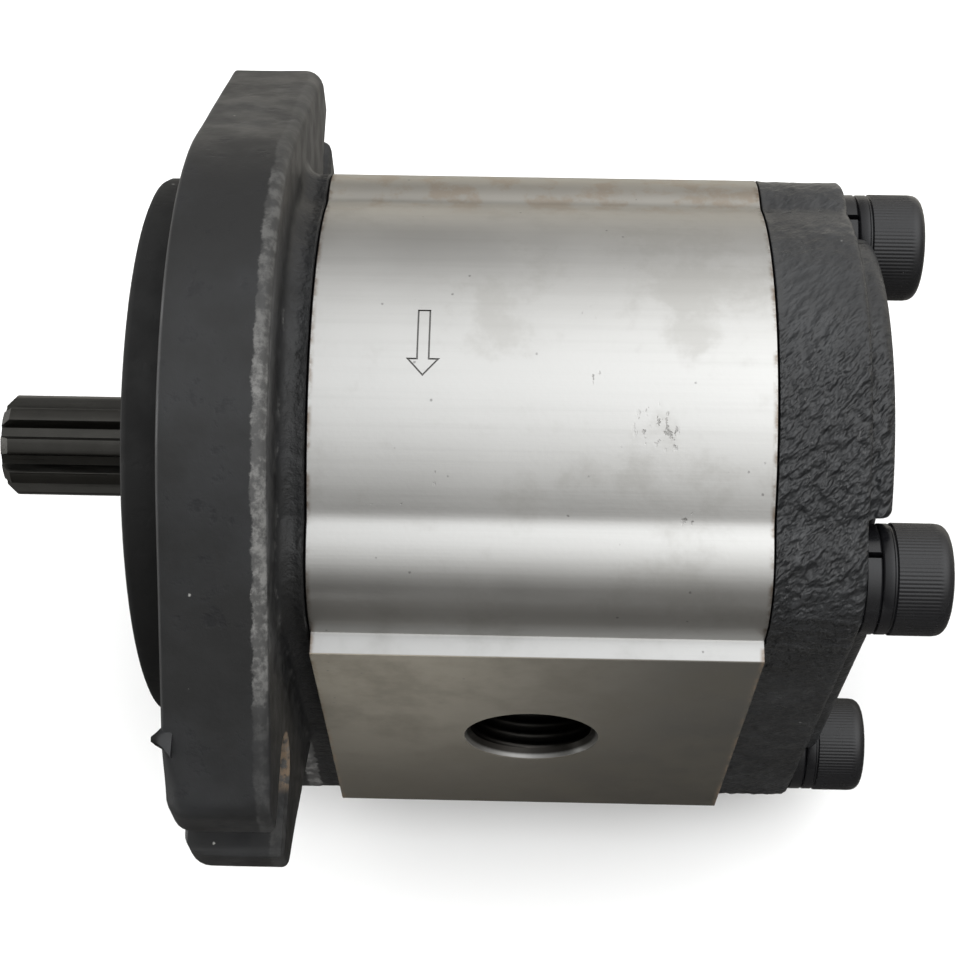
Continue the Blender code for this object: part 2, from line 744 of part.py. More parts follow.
def make_spring_washers():
    """Split washers under the screw heads."""
    split_angle = WASHER_SPLIT / WASHER_OUTER
    for number, (y, z) in enumerate(screw_places(), 1):
        outline = split_ring_outline(WASHER_INNER, WASHER_OUTER, split_angle)
        place = (COVER_REAR + 0.1, y, z)
        washer = add_object(f"spring_washer_{number}", prism(outline, 0.0, WASHER_THICKNESS), place)
        finish(washer, BLACK_OXIDE)


def main():
    clear_scene()
    make_frame()
    make_front_cover()
    make_pump_body()
    make_rear_cover()
    make_drive_shaft()
    make_driven_gear()
    make_bearings()
    make_body_seals()
    make_shaft_seal()
    make_retaining_ring()
    make_dowels()
    make_cap_screws()
    make_spring_washers()


main()
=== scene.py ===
"""Looks of a hydraulic gear pump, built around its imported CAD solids.

Shapes are worked out in millimetres in the pump's own frame: the origin is where the shaft axis
meets the mounting face, +X runs along the shaft to the rear cover, +Z is up and -Y points out of
the inlet port. Places and overall sizes come from the CAD nodes.
"""

import json
import math

import bmesh
import bpy
from mathutils import Matrix, Vector, noise


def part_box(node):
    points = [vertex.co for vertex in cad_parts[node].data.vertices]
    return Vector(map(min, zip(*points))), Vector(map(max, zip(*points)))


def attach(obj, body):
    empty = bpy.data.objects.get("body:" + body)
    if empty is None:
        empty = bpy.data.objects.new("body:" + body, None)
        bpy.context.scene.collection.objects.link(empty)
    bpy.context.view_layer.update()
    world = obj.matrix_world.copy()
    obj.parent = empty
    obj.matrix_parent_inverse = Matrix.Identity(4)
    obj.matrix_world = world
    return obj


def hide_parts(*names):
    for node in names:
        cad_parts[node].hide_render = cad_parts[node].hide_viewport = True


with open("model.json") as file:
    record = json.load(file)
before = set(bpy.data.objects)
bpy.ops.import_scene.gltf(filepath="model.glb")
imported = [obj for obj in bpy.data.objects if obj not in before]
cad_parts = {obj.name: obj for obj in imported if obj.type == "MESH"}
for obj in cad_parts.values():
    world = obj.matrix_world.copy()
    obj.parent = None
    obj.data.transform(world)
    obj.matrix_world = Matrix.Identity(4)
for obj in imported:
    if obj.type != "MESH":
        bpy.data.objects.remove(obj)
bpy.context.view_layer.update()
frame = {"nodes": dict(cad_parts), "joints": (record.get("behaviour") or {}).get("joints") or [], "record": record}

MM = 0.001
RECORD = frame["record"]
MOUNTS = {mount["name"]: mount for mount in RECORD["mounts"]}
SPIN = {joint["name"]: joint for joint in frame["joints"]}["drive_shaft_spin"]
ORIGIN = Vector((MOUNTS["flange_face"]["pos_m"][0], SPIN["pos_m"][1], SPIN["pos_m"][2]))


def span(node):
    """A CAD node's lowest and highest corners in the pump frame, in millimetres."""
    low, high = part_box(node)
    return (low - ORIGIN) / MM, (high - ORIGIN) / MM


def opening_centre(name):
    openings = {opening["name"]: opening for opening in RECORD["physics"]["openings"]}
    low, high = (Vector(corner) for corner in openings[name]["box_m"])
    return ((low + high) / 2 - ORIGIN) / MM


# ---- sizes, in millimetres

BODY_LOW, BODY_HIGH = span("pump_body")
FRONT_LOW, FRONT_HIGH = span("front_cover")
REAR_LOW, REAR_HIGH = span("rear_cover")
SHAFT_LOW, SHAFT_HIGH = span("drive_shaft")
SEAL_LOW, SEAL_HIGH = span("shaft_seal")
RING_LOW, RING_HIGH = span("seal_retaining_ring")
PORT_CENTRE = opening_centre("inlet_port")

END_RADIUS = BODY_HIGH.z
CENTRE_Z = (BODY_LOW.z + BODY_HIGH.z) / 2
GEAR_SPACING = -2 * CENTRE_Z
PORT_FACE_Y = BODY_HIGH.y
SIDE_Y = REAR_HIGH.y
CREASE_ANGLE = math.radians(48.0)
BULGE_Z = 15.0
PORT_PAD_HALF = 32.8
LEDGE_RISE = 0.4
OUTLINE_STEP = 0.45
CREASE_SOFTENING = 5
BULGE_POWER = 2.35

PILOT_RADIUS = 41.275
FLANGE_RADIUS = 49.5
FLANGE_THICKNESS = (MOUNTS["upper_ear_seat"]["pos_m"][0] - ORIGIN.x) / MM
EAR_END_Y = FRONT_HIGH.y
EAR_HALF_WIDTH = 13.0
EAR_CORNER = 1.0
WORN_WANDER = 2.0
WORN_START = FLANGE_THICKNESS - 0.9
WORN_END = FLANGE_THICKNESS + 0.9
SLOT_CENTRE_Y = 53.2
SLOT_HALF_WIDTH = 5.55
LOBE_FRONT = 1.5
NECK_FILLET = 2.4
SEAL_BORE = SEAL_HIGH.y + 0.1
SEAL_SEAT_END = SEAL_HIGH.x + 0.2
COVER_BORE = 10.0

COVER_REAR = span("spring_washer_1")[0].x - 0.1
CROWN_RADIUS = 34.8
CROWN_SIDE_Y = 32.2
SCREW_SEAT_RADIUS = 10.5
SCREW_HOLE_RADIUS = 5.3
SCREWS = range(1, 5)
HEAD_HEIGHT = 10.0
HEAD_ROUND = 1.6
SHANK_RADIUS = 4.9
KNURLS = 90
KNURL_DEPTH = 0.07
HEX_FLATS = 8.0
HEX_DEPTH = 5.6

PORT_RADIUS = 9.5
PORT_MOUTH_RADIUS = 10.5
PORT_MOUTH_DEPTH = 1.6
THREAD_PITCH = 1.8
THREAD_DEPTH = 0.15
CHAMBER_RADIUS = 21.1

JOURNAL_RADIUS = 9.5
SPLINE_TEETH = 9
SPLINE_MAJOR = 7.75
SPLINE_MINOR = 6.1
SPLINE_END = -8.0
TEETH = 12
MODULE = 3.0
PRESSURE_ANGLE = math.radians(25.0)
BACKLASH = 0.2

ARROW_X = 34.35
ARROW_START = -1.17
ARROW_NECK = 6.27
ARROW_TIP = 8.6
ARROW_HALF_SHAFT = 0.8
ARROW_HALF_HEAD = 2.1
ARROW_LINE = 0.24
ARROW_DEPTH = 0.2

# Where the body is scuffed: x, degrees from its top towards -Y, reach.
KNOCKS = (
    (66.0, 22.0, 3.6),
    (68.4, 24.5, 2.2),
    (57.8, 12.0, 1.6),
    (71.0, 40.0, 2.0),
    (36.0, 33.0, 1.5),
)
# Port face greys: painted light at the front, painted shade at the rear and low down, and a stain colour.
MATTE_LIT_FRONT = (0.29, 0.265, 0.215)
MATTE_SHADED_REAR = (0.072, 0.068, 0.059)
MATTE_SHADED_LOW = (0.047, 0.042, 0.033)
MATTE_STAIN = (0.088, 0.078, 0.058)


# ---- outlines, as (y, z) points


def polar(radius, angle, centre=(0.0, 0.0)):
    """The point at a radius and an angle in radians from +Y."""
    return centre[0] + radius * math.cos(angle), centre[1] + radius * math.sin(angle)


def arc(radius, start, end, steps, centre=(0.0, 0.0)):
    """Points on an arc from angle start to angle end, both included."""
    return [polar(radius, start + (end - start) * i / steps, centre) for i in range(steps + 1)]


def between(a, b, share):
    return a[0] + (b[0] - a[0]) * share, a[1] + (b[1] - a[1]) * share


def resampled(points, step):
    """An open line with its points spaced evenly, about one step apart."""
    lengths = [0.0]
    for a, b in zip(points, points[1:]):
        lengths.append(lengths[-1] + math.dist(a, b))
    count = max(2, round(lengths[-1] / step))
    made = []
    part = 0
    for i in range(count + 1):
        wanted = lengths[-1] * i / count
        while part < len(points) - 2 and lengths[part + 1] < wanted:
            part += 1
        share = (wanted - lengths[part]) / (lengths[part + 1] - lengths[part])
        made.append(between(points[part], points[part + 1], share))
    return made


def softened(points, passes):
    """An open line with its corners eased, and its two ends kept."""
    for _ in range(passes):
        inner = [
            tuple((before[k] + 2 * here[k] + after[k]) / 4 for k in (0, 1))
            for before, here, after in zip(points, points[1:], points[2:])
        ]
        points = [points[0], *inner, points[-1]]
    return points


def mirrored_quarter(quarter, middle_z):
    """A closed outline from its upper +Y quarter, listed from the top to the side."""
    upper = quarter + [(y, 2 * middle_z - z) for y, z in reversed(quarter)]
    other_side = [(-y, z) for y, z in reversed(upper) if abs(y) > 1e-6]
    return upper + other_side


def upper_quarter(bulge_end_z):
    """Top centre to side: the end arc, the crease, then the bulge round the screw."""
    crease_y = END_RADIUS * math.cos(CREASE_ANGLE)
    crease_z = END_RADIUS * math.sin(CREASE_ANGLE)
    rise = crease_z - BULGE_Z
    step = SIDE_Y - crease_y
    radius = (step**2 + rise**2) / (2 * step)
    across = (crease_y - SIDE_Y + radius) / radius
    height = rise / (1 - across**BULGE_POWER) ** (1 / BULGE_POWER)
    start = math.acos(across ** (BULGE_POWER / 2))
    end = math.asin(((bulge_end_z - BULGE_Z) / height) ** (BULGE_POWER / 2))
    end_arc = arc(END_RADIUS, math.pi / 2, CREASE_ANGLE, 60)
    bulge = []
    for cosine, sine in arc(1.0, start, end, 30):
        out = SIDE_Y - radius + radius * max(cosine, 0.0) ** (2 / BULGE_POWER)
        bulge.append((out, BULGE_Z + height * max(sine, 0.0) ** (2 / BULGE_POWER)))
    return softened(resampled(end_arc + bulge[1:], OUTLINE_STEP), CREASE_SOFTENING)


def cover_outline():
    side = resampled([(SIDE_Y, BULGE_Z), (SIDE_Y, CENTRE_Z)], OUTLINE_STEP)
    return mirrored_quarter(upper_quarter(BULGE_Z) + side[1:-1], CENTRE_Z)


def body_outline():
    """The covers' outline with a raised port pad on each side, below a ledge that faces up."""
    pad_top = CENTRE_Z + PORT_PAD_HALF
    return mirrored_quarter(upper_quarter(pad_top + LEDGE_RISE) + [(PORT_FACE_Y, pad_top)], CENTRE_Z)


def crown_outline():
    """The rear cover's raised middle: a stadium that keeps inside the rim."""
    corner = math.acos(CROWN_SIDE_Y / CROWN_RADIUS)
    quarter = arc(CROWN_RADIUS, math.pi / 2, corner, 60)
    quarter += resampled([quarter[-1], (CROWN_SIDE_Y, CENTRE_Z)], 1.0)[1:-1]
    return mirrored_quarter(softened(quarter, 4), CENTRE_Z)


def flange_outline():
    """A round plate drawn out into two ears by tangent lines."""
    reach = math.hypot(EAR_END_Y, EAR_HALF_WIDTH)
    tangent = math.atan2(EAR_HALF_WIDTH, EAR_END_Y) + math.acos(FLANGE_RADIUS / reach)
    slope = tangent - math.pi / 2
    before_corner = (
        EAR_END_Y - EAR_CORNER * math.cos(slope),
        EAR_HALF_WIDTH - EAR_CORNER * math.sin(slope),
    )
    after_corner = (EAR_END_Y, EAR_HALF_WIDTH - EAR_CORNER)
    round_part = arc(FLANGE_RADIUS, math.pi / 2, tangent, 40)
    line = round_part + [before_corner, after_corner, (EAR_END_Y, 0.0)]
    quarter = softened(resampled(line, OUTLINE_STEP), 4)
    return mirrored_quarter(quarter[:-1], 0.0)


def slot_outline(side):
    """A U-slot open at the ear's end, its mouth rounded outwards."""
    mouth = 1.6
    corner = (EAR_END_Y - mouth, SLOT_HALF_WIDTH + mouth)
    flare = arc(mouth, -math.pi / 2, -0.06, 6, corner)
    flare = [(y + 0.1 * i, z) for i, (y, z) in enumerate(flare)]
    open_side = [(EAR_END_Y + 4.0, flare[-1][1])]
    upper = resampled([(SLOT_CENTRE_Y, SLOT_HALF_WIDTH), flare[0]], 1.0)[:-1] + flare + open_side
    inner = arc(SLOT_HALF_WIDTH, math.pi / 2, 3 * math.pi / 2, 32, (SLOT_CENTRE_Y, 0.0))
    lower = [(y, -z) for y, z in upper]
    points = list(reversed(upper)) + inner[1:-1] + lower
    return [(side * y, z) for y, z in points]


def stadium(radius):
    """Two half circles round the gear centres, joined by straight sides."""
    top = arc(radius, 0.0, math.pi, 40)
    bottom = arc(radius, math.pi, 2 * math.pi, 40, (0.0, -GEAR_SPACING))
    return top + bottom


def figure_eight(radius):
    """Two overlapping circles round the gear centres."""
    waist = math.asin(GEAR_SPACING / 2 / radius)
    top = arc(radius, -waist, math.pi + waist, 72)
    bottom = arc(radius, math.pi - waist, 2 * math.pi + waist, 72, (0.0, -GEAR_SPACING))
    return top[:-1] + bottom[:-1]


def toothed(half_tooth, teeth):
    """Teeth from half a tooth's (radius, angle) points, the first tooth centred on +Y."""
    points = []
    for tooth in range(teeth):
        middle = 2 * math.pi * tooth / teeth
        points += [(r, middle - turn) for r, turn in half_tooth]
        points += [(r, middle + turn) for r, turn in reversed(half_tooth)]
    return [polar(*point) for point in points]


def involute(angle):
    return math.tan(angle) - angle


def gear_outline():
    """Involute teeth."""
    pitch_radius = TEETH * MODULE / 2
    base_radius = pitch_radius * math.cos(PRESSURE_ANGLE)
    tip_radius = pitch_radius + MODULE
    root_radius = pitch_radius - 1.25 * MODULE
    half_pitch_angle = (math.pi * MODULE / 2 - BACKLASH) / 2 / pitch_radius
    half_base_angle = half_pitch_angle + involute(PRESSURE_ANGLE)
    steps = 10
    flank = []
    for i in range(steps + 1):
        radius = base_radius + (tip_radius - base_radius) * i / steps
        flank.append((radius, half_base_angle - involute(math.acos(base_radius / radius))))
    root_turn = half_base_angle + 0.02
    return toothed([(root_radius, root_turn + 0.06), (root_radius + 0.7, root_turn), *flank], TEETH)


def spline_outline():
    """Straight-flanked spline teeth with rounded corners."""
    half_tooth = (
        (SPLINE_MINOR, 16.0),
        (SPLINE_MINOR + 0.05, 13.5),
        (SPLINE_MINOR + 0.25, 12.3),
        (SPLINE_MAJOR - 0.22, 9.0),
        (SPLINE_MAJOR - 0.06, 8.3),
        (SPLINE_MAJOR, 6.8),
        (SPLINE_MAJOR, 3.0),
    )
    return toothed([(r, math.radians(turn)) for r, turn in half_tooth], SPLINE_TEETH)


def circle(radius, segments=64, centre=(0.0, 0.0)):
    return arc(radius, 0.0, 2 * math.pi * (segments - 1) / segments, segments - 1, centre)


# ---- mesh making


def outward(outline):
    """The outward normal at each point of a closed outline."""
    area = sum(a[0] * b[1] - b[0] * a[1] for a, b in zip(outline, outline[1:] + outline[:1]))
    side = 1.0 if area > 0 else -1.0
    normals = []
    for before, after in zip(outline[-1:] + outline[:-1], outline[1:] + outline[:1]):
        along = Vector((after[0] - before[0], after[1] - before[1])).normalized()
        normals.append((side * along.y, -side * along.x))
    return normals


def quarter_turn(steps):
    """(1 - cosine, 1 - sine) at even steps along a quarter turn."""
    turns = [math.pi / 2 * i / steps for i in range(steps + 1)]
    return [(1 - math.cos(turn), 1 - math.sin(turn)) for turn in turns]


def value_at(size, y, z):
    return size(y, z) if callable(size) else size


def wall(outline, start, end, front=0.0, rear=0.0, grow=0.0, relief=None, step=OUTLINE_STEP):
    """Rings of a wall drawn out along X from an outline.

    Front and rear are the radii of its rounded rims and grow is how far it stands off the
    outline, each a number or a function of (y, z). Relief is a function of (x, y, z).
    """
    normals = outward(outline)
    rim = quarter_turn(6)[:-1]
    middle = max(1, round((end - start) / step))
    stations = [("front", *turn) for turn in rim]
    stations += [("middle", i / middle, 0.0) for i in range(middle + 1)]
    stations += [("rear", *turn) for turn in reversed(rim)]
    rings = []
    for kind, along, inset in stations:
        ring = []
        for (y, z), (ny, nz) in zip(outline, normals):
            front_radius = value_at(front, y, z)
            rear_radius = value_at(rear, y, z)
            off = value_at(grow, y, z)
            if kind == "front":
                x = start + front_radius * along
                off -= front_radius * inset
            elif kind == "rear":
                x = end - rear_radius * along
                off -= rear_radius * inset
            else:
                first = start + front_radius
                x = first + (end - rear_radius - first) * along
            if relief:
                off += relief(x, y, z)
            ring.append((x, y + ny * off, z + nz * off))
        if not rings or max(math.dist(a, b) for a, b in zip(ring, rings[-1])) > 1e-6:
            rings.append(ring)
    return rings


def ring_at(x, outline, off):
    """A ring at x, off the outline by a number or a function of (y, z)."""
    ring = []
    for (y, z), (ny, nz) in zip(outline, outward(outline)):
        here = value_at(off, y, z)
        ring.append((x, y + ny * here, z + nz * here))
    return ring


def at(x, outline):
    return [(x, y, z) for y, z in outline]


def loft(rings, maker=None, closed=False):
    """A solid through rings of equally many points, flat at both ends or closed on itself."""
    maker = maker or bmesh.new()
    loops = [[maker.verts.new(point) for point in ring] for ring in rings]
    following = loops[1:] + loops[:1] if closed else loops[1:]
    for near, far in zip(loops, following):
        for i in range(len(near)):
            j = (i + 1) % len(near)
            maker.faces.new((near[i], near[j], far[j], far[i]))
    if not closed:
        maker.faces.new(loops[0])
        maker.faces.new(loops[-1])
    return maker


def prism(outline, start, end, maker=None):
    return loft([at(start, outline), at(end, outline)], maker)


def turned(profile, segments=96, centre=(0.0, 0.0), maker=None, closed=False):
    """A solid of revolution about X from (x, radius) points, open ones with flat ends."""
    return loft([at(x, circle(r, segments, centre)) for x, r in profile], maker, closed)


def piece(name, maker):
    """An object from a bmesh in pump-frame millimetres."""
    bmesh.ops.recalc_face_normals(maker, faces=maker.faces)
    bmesh.ops.scale(maker, vec=(MM, MM, MM), verts=maker.verts)
    bmesh.ops.translate(maker, vec=ORIGIN, verts=maker.verts)
    return scene_object(name, maker)


def scene_object(name, maker):
    """An object from a bmesh in metres."""
    mesh = bpy.data.meshes.new(name)
    maker.to_mesh(mesh)
    maker.free()
    return placed(bpy.data.objects.new(name, mesh))


def placed(obj):
    bpy.context.scene.collection.objects.link(obj)
    return obj


def combine(target, others, operation="DIFFERENCE"):
    """Cuts the others out of the target, or joins them to it, and removes them."""
    for other in others:
        boolean = target.modifiers.new(other.name, "BOOLEAN")
        boolean.operation = operation
        boolean.solver = "EXACT"
        boolean.object = other
    graph = bpy.context.evaluated_depsgraph_get()
    mesh = bpy.data.meshes.new_from_object(target.evaluated_get(graph))
    target.modifiers.clear()
    target.data = mesh
    for other in others:
        bpy.data.objects.remove(other)


def shaded(obj, look, replaced, body="housing", sharp=38.0):
    """Smooth shading with flat faces kept flat, a material, and its place in the frame."""
    obj.data.materials.clear()
    obj.data.materials.append(look)
    obj.data.shade_smooth()
    obj.data.set_sharp_from_angle(angle=math.radians(sharp))
    weighted = obj.modifiers.new("flat_faces", "WEIGHTED_NORMAL")
    weighted.keep_sharp = True
    weighted.weight = 100
    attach(obj, body)
    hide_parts(replaced)


def smoothstep(low, high, value):
    share = min(1.0, max(0.0, (value - low) / (high - low)))
    return share * share * (3 - 2 * share)


def screw_axis(number):
    low, high = span(f"cap_screw_{number}")
    return (low.y + high.y) / 2, (low.z + high.z) / 2


def screw_holes(start, end):
    maker = bmesh.new()
    for number in SCREWS:
        prism(circle(SCREW_HOLE_RADIUS, 32, screw_axis(number)), start, end, maker)
    return piece("screw_holes", maker)


def dowel_holes(first, side):
    """Blind holes round a seam's two dowels, from the seam forwards (-1) or rearwards (1)."""
    maker = bmesh.new()
    for number in (first, first + 1):
        low, high = span(f"dowel_{number}")
        middle = (low + high) / 2
        half = (high - low) / 2
        end = middle.x + side * (half.x + 0.4)
        prism(circle(half.y + 0.1, 32, (middle.y, middle.z)), middle.x, end, maker)
    return piece("dowel_holes", maker)


def seal_groove(node, side):
    """A body seal's groove in the cover in front of it (-1) or behind it (1)."""
    low, high = span(node)
    middle = (low.x + high.x) / 2
    half = (high.x - low.x) / 2
    start = middle - side * (half + 1.5)
    end = middle + side * (half + 0.1)
    inner = stadium(high.y - 2 * half - 0.35)
    outer = stadium(high.y + 0.35)
    rings = [at(start, outer), at(start, inner), at(end, inner), at(end, outer)]
    return piece("seal_groove", loft(rings, closed=True))


# ---- casting relief, in millimetres


def lumps(x, y, z, size):
    """Soft lumps about size across."""
    return noise.noise(Vector((x, y, z)) / size)


def flange_relief(x, y, z):
    """Slight waviness of a hand-dressed rim."""
    return 0.12 * lumps(x, y, z, 11.0) + 0.015 * lumps(x, y, z, 2.6) - 0.12


def neck_relief(x, y, z):
    fade = 1.0 - smoothstep(FRONT_HIGH.x - 1.2, FRONT_HIGH.x - 0.2, x)
    return fade * (0.12 * lumps(x, y, z, 5.0) + 0.07 * lumps(x, y, z, 1.6) - 0.14)


def rear_relief(x, y, z):
    """Coarse slanting cast skin, smoother over the top of the cover."""
    rough = 0.25 + 0.75 * smoothstep(6.0, -10.0, y) if z > CENTRE_Z else 1.0
    edge = smoothstep(REAR_LOW.x, REAR_LOW.x + 0.8, x)
    slanted = Vector((x + 0.7 * z, 0.45 * (z - 0.7 * x), 0.8 * y))
    coarse = noise.fractal(slanted / 1.5, 0.7, 2.1, 3)
    return edge * (rough * (0.25 * coarse - 0.18) + 0.12 * lumps(x, y, z, 6.0) - 0.1)


# ---- material making


def node(source, kind, inputs=None, output=0, **settings):
    """One output of a new shader node in source's tree, with its inputs set or linked."""
    tree = source.id_data
    made = tree.nodes.new("ShaderNode" + kind)
    for name, value in settings.items():
        setattr(made, name, value)
    for key, value in (inputs or {}).items():
        if isinstance(value, bpy.types.NodeSocket):
            tree.links.new(value, made.inputs[key])
        else:
            made.inputs[key].default_value = value
    return made.outputs[output]


def new_material(name, **plain):
    """A material, its shader and its place coordinates in metres."""
    made = bpy.data.materials.new(name)
    made.use_nodes = True
    tree = made.node_tree
    shader = tree.nodes["Principled BSDF"]
    for key, value in plain.items():
        shader.inputs[key.replace("_", " ")].default_value = value
    return made, shader, node(tree, "TexCoord", output="Object")


def link(socket, shader, name):
    socket.id_data.links.new(socket, shader.inputs[name])


def scaled(place, x, y, z):
    return node(place, "Mapping", {"Vector": place, "Scale": (x, y, z)})


def grain(place, size, detail=2.0, roughness=0.5):
    """Noise with features about size millimetres across, from 0 to 1."""
    inputs = {"Vector": place, "Scale": 1.0 / (size * MM), "Detail": detail, "Roughness": roughness}
    return node(place, "TexNoise", inputs)


def ramp(value, low, high, to_low=0.0, to_high=1.0):
    """Eased from to_low, where the value is low, to to_high, where it is high."""
    inputs = {"Value": value, 1: low, 2: high, 3: to_low, 4: to_high}
    return node(value, "MapRange", inputs, interpolation_type="SMOOTHSTEP")


def maths(operation, first, second=0.0):
    return node(first, "Math", {0: first, 1: second}, operation=operation)


def times(first, *others):
    for other in others:
        first = maths("MULTIPLY", first, other)
    return first


def vector_maths(operation, first, second):
    return node(first, "VectorMath", {0: first, 1: second}, operation=operation)


def length(vector):
    return node(vector, "VectorMath", {0: vector}, "Value", operation="LENGTH")


def mixed(share, first, second):
    """A mix of two colours, each a socket or an (r, g, b)."""
    inputs = {0: share}
    for key, colour in ((6, first), (7, second)):
        inputs[key] = colour if isinstance(colour, bpy.types.NodeSocket) else (*colour, 1.0)
    return node(share, "Mix", inputs, 2, data_type="RGBA")


def layered(base, *layers):
    """A colour with others laid over it in turn, each a (mask, strength, colour)."""
    for mask, strength, colour in layers:
        base = mixed(times(mask, strength), base, colour)
    return base


def bumped(shader, height, distance, strength=1.0):
    """Bump from a 0 to 1 height, distance millimetres deep, on top of any earlier bump."""
    inputs = {"Height": height, "Distance": distance * MM, "Strength": strength}
    earlier = shader.inputs["Normal"]
    if earlier.is_linked:
        inputs["Normal"] = earlier.links[0].from_socket
    link(node(height, "Bump", inputs), shader, "Normal")


def offset_from(place, centre):
    """The way here from a centre in the pump frame, in millimetres."""
    inputs = {"Vector": place, "Location": -ORIGIN / MM - Vector(centre), "Scale": [1 / MM] * 3}
    return node(place, "Mapping", inputs)


def axes(place):
    """X, Y and Z in the pump frame, in millimetres."""
    return node(place, "SeparateXYZ", {0: offset_from(place, (0.0, 0.0, 0.0))}).node.outputs


def off_axis(y, z):
    """The length of (0, y, z)."""
    return length(node(y, "CombineXYZ", {"Y": y, "Z": z}))


def band(value, low, high, edge):
    """1 between low and high, with soft edges."""
    return times(ramp(value, low - edge, low), ramp(value, high, high + edge, 1.0, 0.0))


def end_facing(place, on_ends, elsewhere):
    """One value on faces square to X, eased to another on the rest."""
    normal = node(place, "NewGeometry", output="Normal")
    along = node(place, "SeparateXYZ", {0: normal})
    return ramp(ramp(maths("ABSOLUTE", along), 0.80, 0.97), 0.0, 1.0, elsewhere, on_ends)


def specks(place, cell, size):
    """A mask of rare small specks: cell millimetres apart, size millimetres across."""
    inputs = {"Vector": place, "Scale": 1.2 / (size * MM), "Detail": 2.0}
    wobble = node(place, "TexNoise", inputs, "Color")
    shift = node(place, "VectorMath", {0: wobble, "Scale": 0.9 * size * MM}, operation="SCALE")
    bent = vector_maths("ADD", place, shift)
    distance = node(place, "TexVoronoi", {"Vector": bent, "Scale": 1.0 / (cell * MM)})
    picked = node(place, "SeparateColor", {"Color": distance.node.outputs["Color"]})
    return times(ramp(distance, size / cell, 0.4 * size / cell), ramp(picked, 0.78, 0.8))


# ---- looks


def painted_front():
    """Black paint over a casting, scuffed grey along the flange's rear rim with painted light on the scuffs, rusty
    round the slots.
    """
    made, shader, place = new_material("front_cover_paint", Specular_IOR_Level=0.34)
    x, y, z = axes(place)
    clouds = ramp(grain(place, 16.0, 4.0, 0.6), 0.35, 0.7)
    blotches = ramp(grain(place, 4.0, 4.0, 0.65), 0.56, 0.72)
    pilot = ramp(x, -0.6, 0.2, 1.0, 0.0)
    patchy = worn_rim(place, x, y)
    # Painted light and shade over real wear: the worn grey lighter towards -Y, darker towards +Y.
    worn_colour_with_painted_light = mixed(ramp(y, -2.0, -18.0), (0.080, 0.079, 0.076), (0.145, 0.143, 0.138))
    base = layered(
        mixed(clouds, (0.009, 0.009, 0.009), (0.015, 0.0155, 0.0165)),
        (blotches, 0.6, (0.005, 0.005, 0.006)),
        (pilot, 1.0, (0.002, 0.002, 0.002)),
        (patchy, 1.0, worn_colour_with_painted_light),
        (specks(place, 4.2, 0.3), 0.6, (0.40, 0.40, 0.38)),
        (slot_rust(place, x, y, z), 1.0, (0.15, 0.108, 0.072)),
    )
    link(base, shader, "Base Color")
    rough = ramp(grain(place, 5.0, 3.0), 0.3, 0.7, 0.40, 0.54)
    link(maths("ADD", rough, times(pilot, 0.25)), shader, "Roughness")
    bumped(shader, grain(place, 1.4, 4.0, 0.6), 0.10, 0.4)
    bumped(shader, blotches, -0.06, 0.6)
    bumped(shader, patchy, -0.05, 0.6)
    on_neck = ramp(x, FLANGE_THICKNESS + 0.2, FLANGE_THICKNESS + 1.5)
    bumped(shader, times(grain(place, 1.5, 3.0, 0.55), on_neck), 0.40, 0.9)
    outwards = node(place, "CombineXYZ", {"X": times(off_axis(y, z), MM)})
    bumped(shader, times(grain(outwards, 0.7, 3.0, 0.6), pilot), 0.06, 0.6)
    return made


def worn_rim(place, x, y):
    """A ragged worn band along the flange's rear edge, fainter towards the ears' ends."""
    ragged = maths("ADD", x, times(grain(place, 2.2, 5.0, 0.7), WORN_WANDER))
    patches = ramp(grain(place, 2.8, 5.0, 0.7), 0.42, 0.62, 0.30, 1.0)
    near_end = ramp(y, -56.0, -44.0, 0.15, 1.0)
    far_end = ramp(y, 6.0, 36.0, 1.0, 0.25)
    on_rim = end_facing(place, 0.2, 1.0)
    return times(band(ragged, WORN_START, WORN_END, 0.4), patches, near_end, far_end, on_rim)


def slot_rust(place, x, y, z):
    """Patches of rust round the slots' inner ends, at the flange's rear face."""
    beyond = maths("SUBTRACT", maths("ABSOLUTE", y), SLOT_CENTRE_Y)
    off_slot = off_axis(maths("MINIMUM", beyond), z)
    slot_edge = band(off_slot, SLOT_HALF_WIDTH - 0.6, SLOT_HALF_WIDTH + 0.5, 0.3)
    rear_edge = band(x, FLANGE_THICKNESS - 1.4, FLANGE_THICKNESS + 0.4, 0.4)
    patches = ramp(grain(place, 2.0, 4.0, 0.7), 0.40, 0.58)
    return times(slot_edge, rear_edge, patches, ramp(beyond, 1.5, -1.0))


def painted_rear():
    """Black paint over a coarse casting, thin and greyer on its high spots."""
    made, shader, place = new_material("rear_cover_paint", Specular_IOR_Level=0.45)
    _, y, z = axes(place)
    clouds = ramp(grain(place, 12.0, 4.0, 0.6), 0.35, 0.7)
    turned_place = node(place, "Mapping", {"Vector": place, "Rotation": (0.0, 0.0, 0.7)})
    slanted = scaled(turned_place, 1.0, 0.45, 0.8)
    coarse = ramp(grain(slanted, 1.25, 2.0, 0.5), 0.25, 0.80)
    coarse = times(coarse, ramp(y, -10.0, 6.0, 1.0, 0.2), ramp(z, -4.0, 12.0, 0.25, 1.0))
    base = layered(
        mixed(clouds, (0.011, 0.0115, 0.0125), (0.020, 0.021, 0.0225)),
        (ramp(coarse, 0.55, 0.85), 0.5, (0.032, 0.033, 0.035)),
        (specks(place, 5.0, 0.26), 0.6, (0.30, 0.30, 0.29)),
    )
    link(base, shader, "Base Color")
    link(ramp(grain(place, 2.5, 4.0), 0.3, 0.7, 0.27, 0.42), shader, "Roughness")
    bumped(shader, coarse, 0.75, 1.0)
    bumped(shader, grain(place, 0.9, 4.0, 0.6), 0.10, 0.5)
    return made


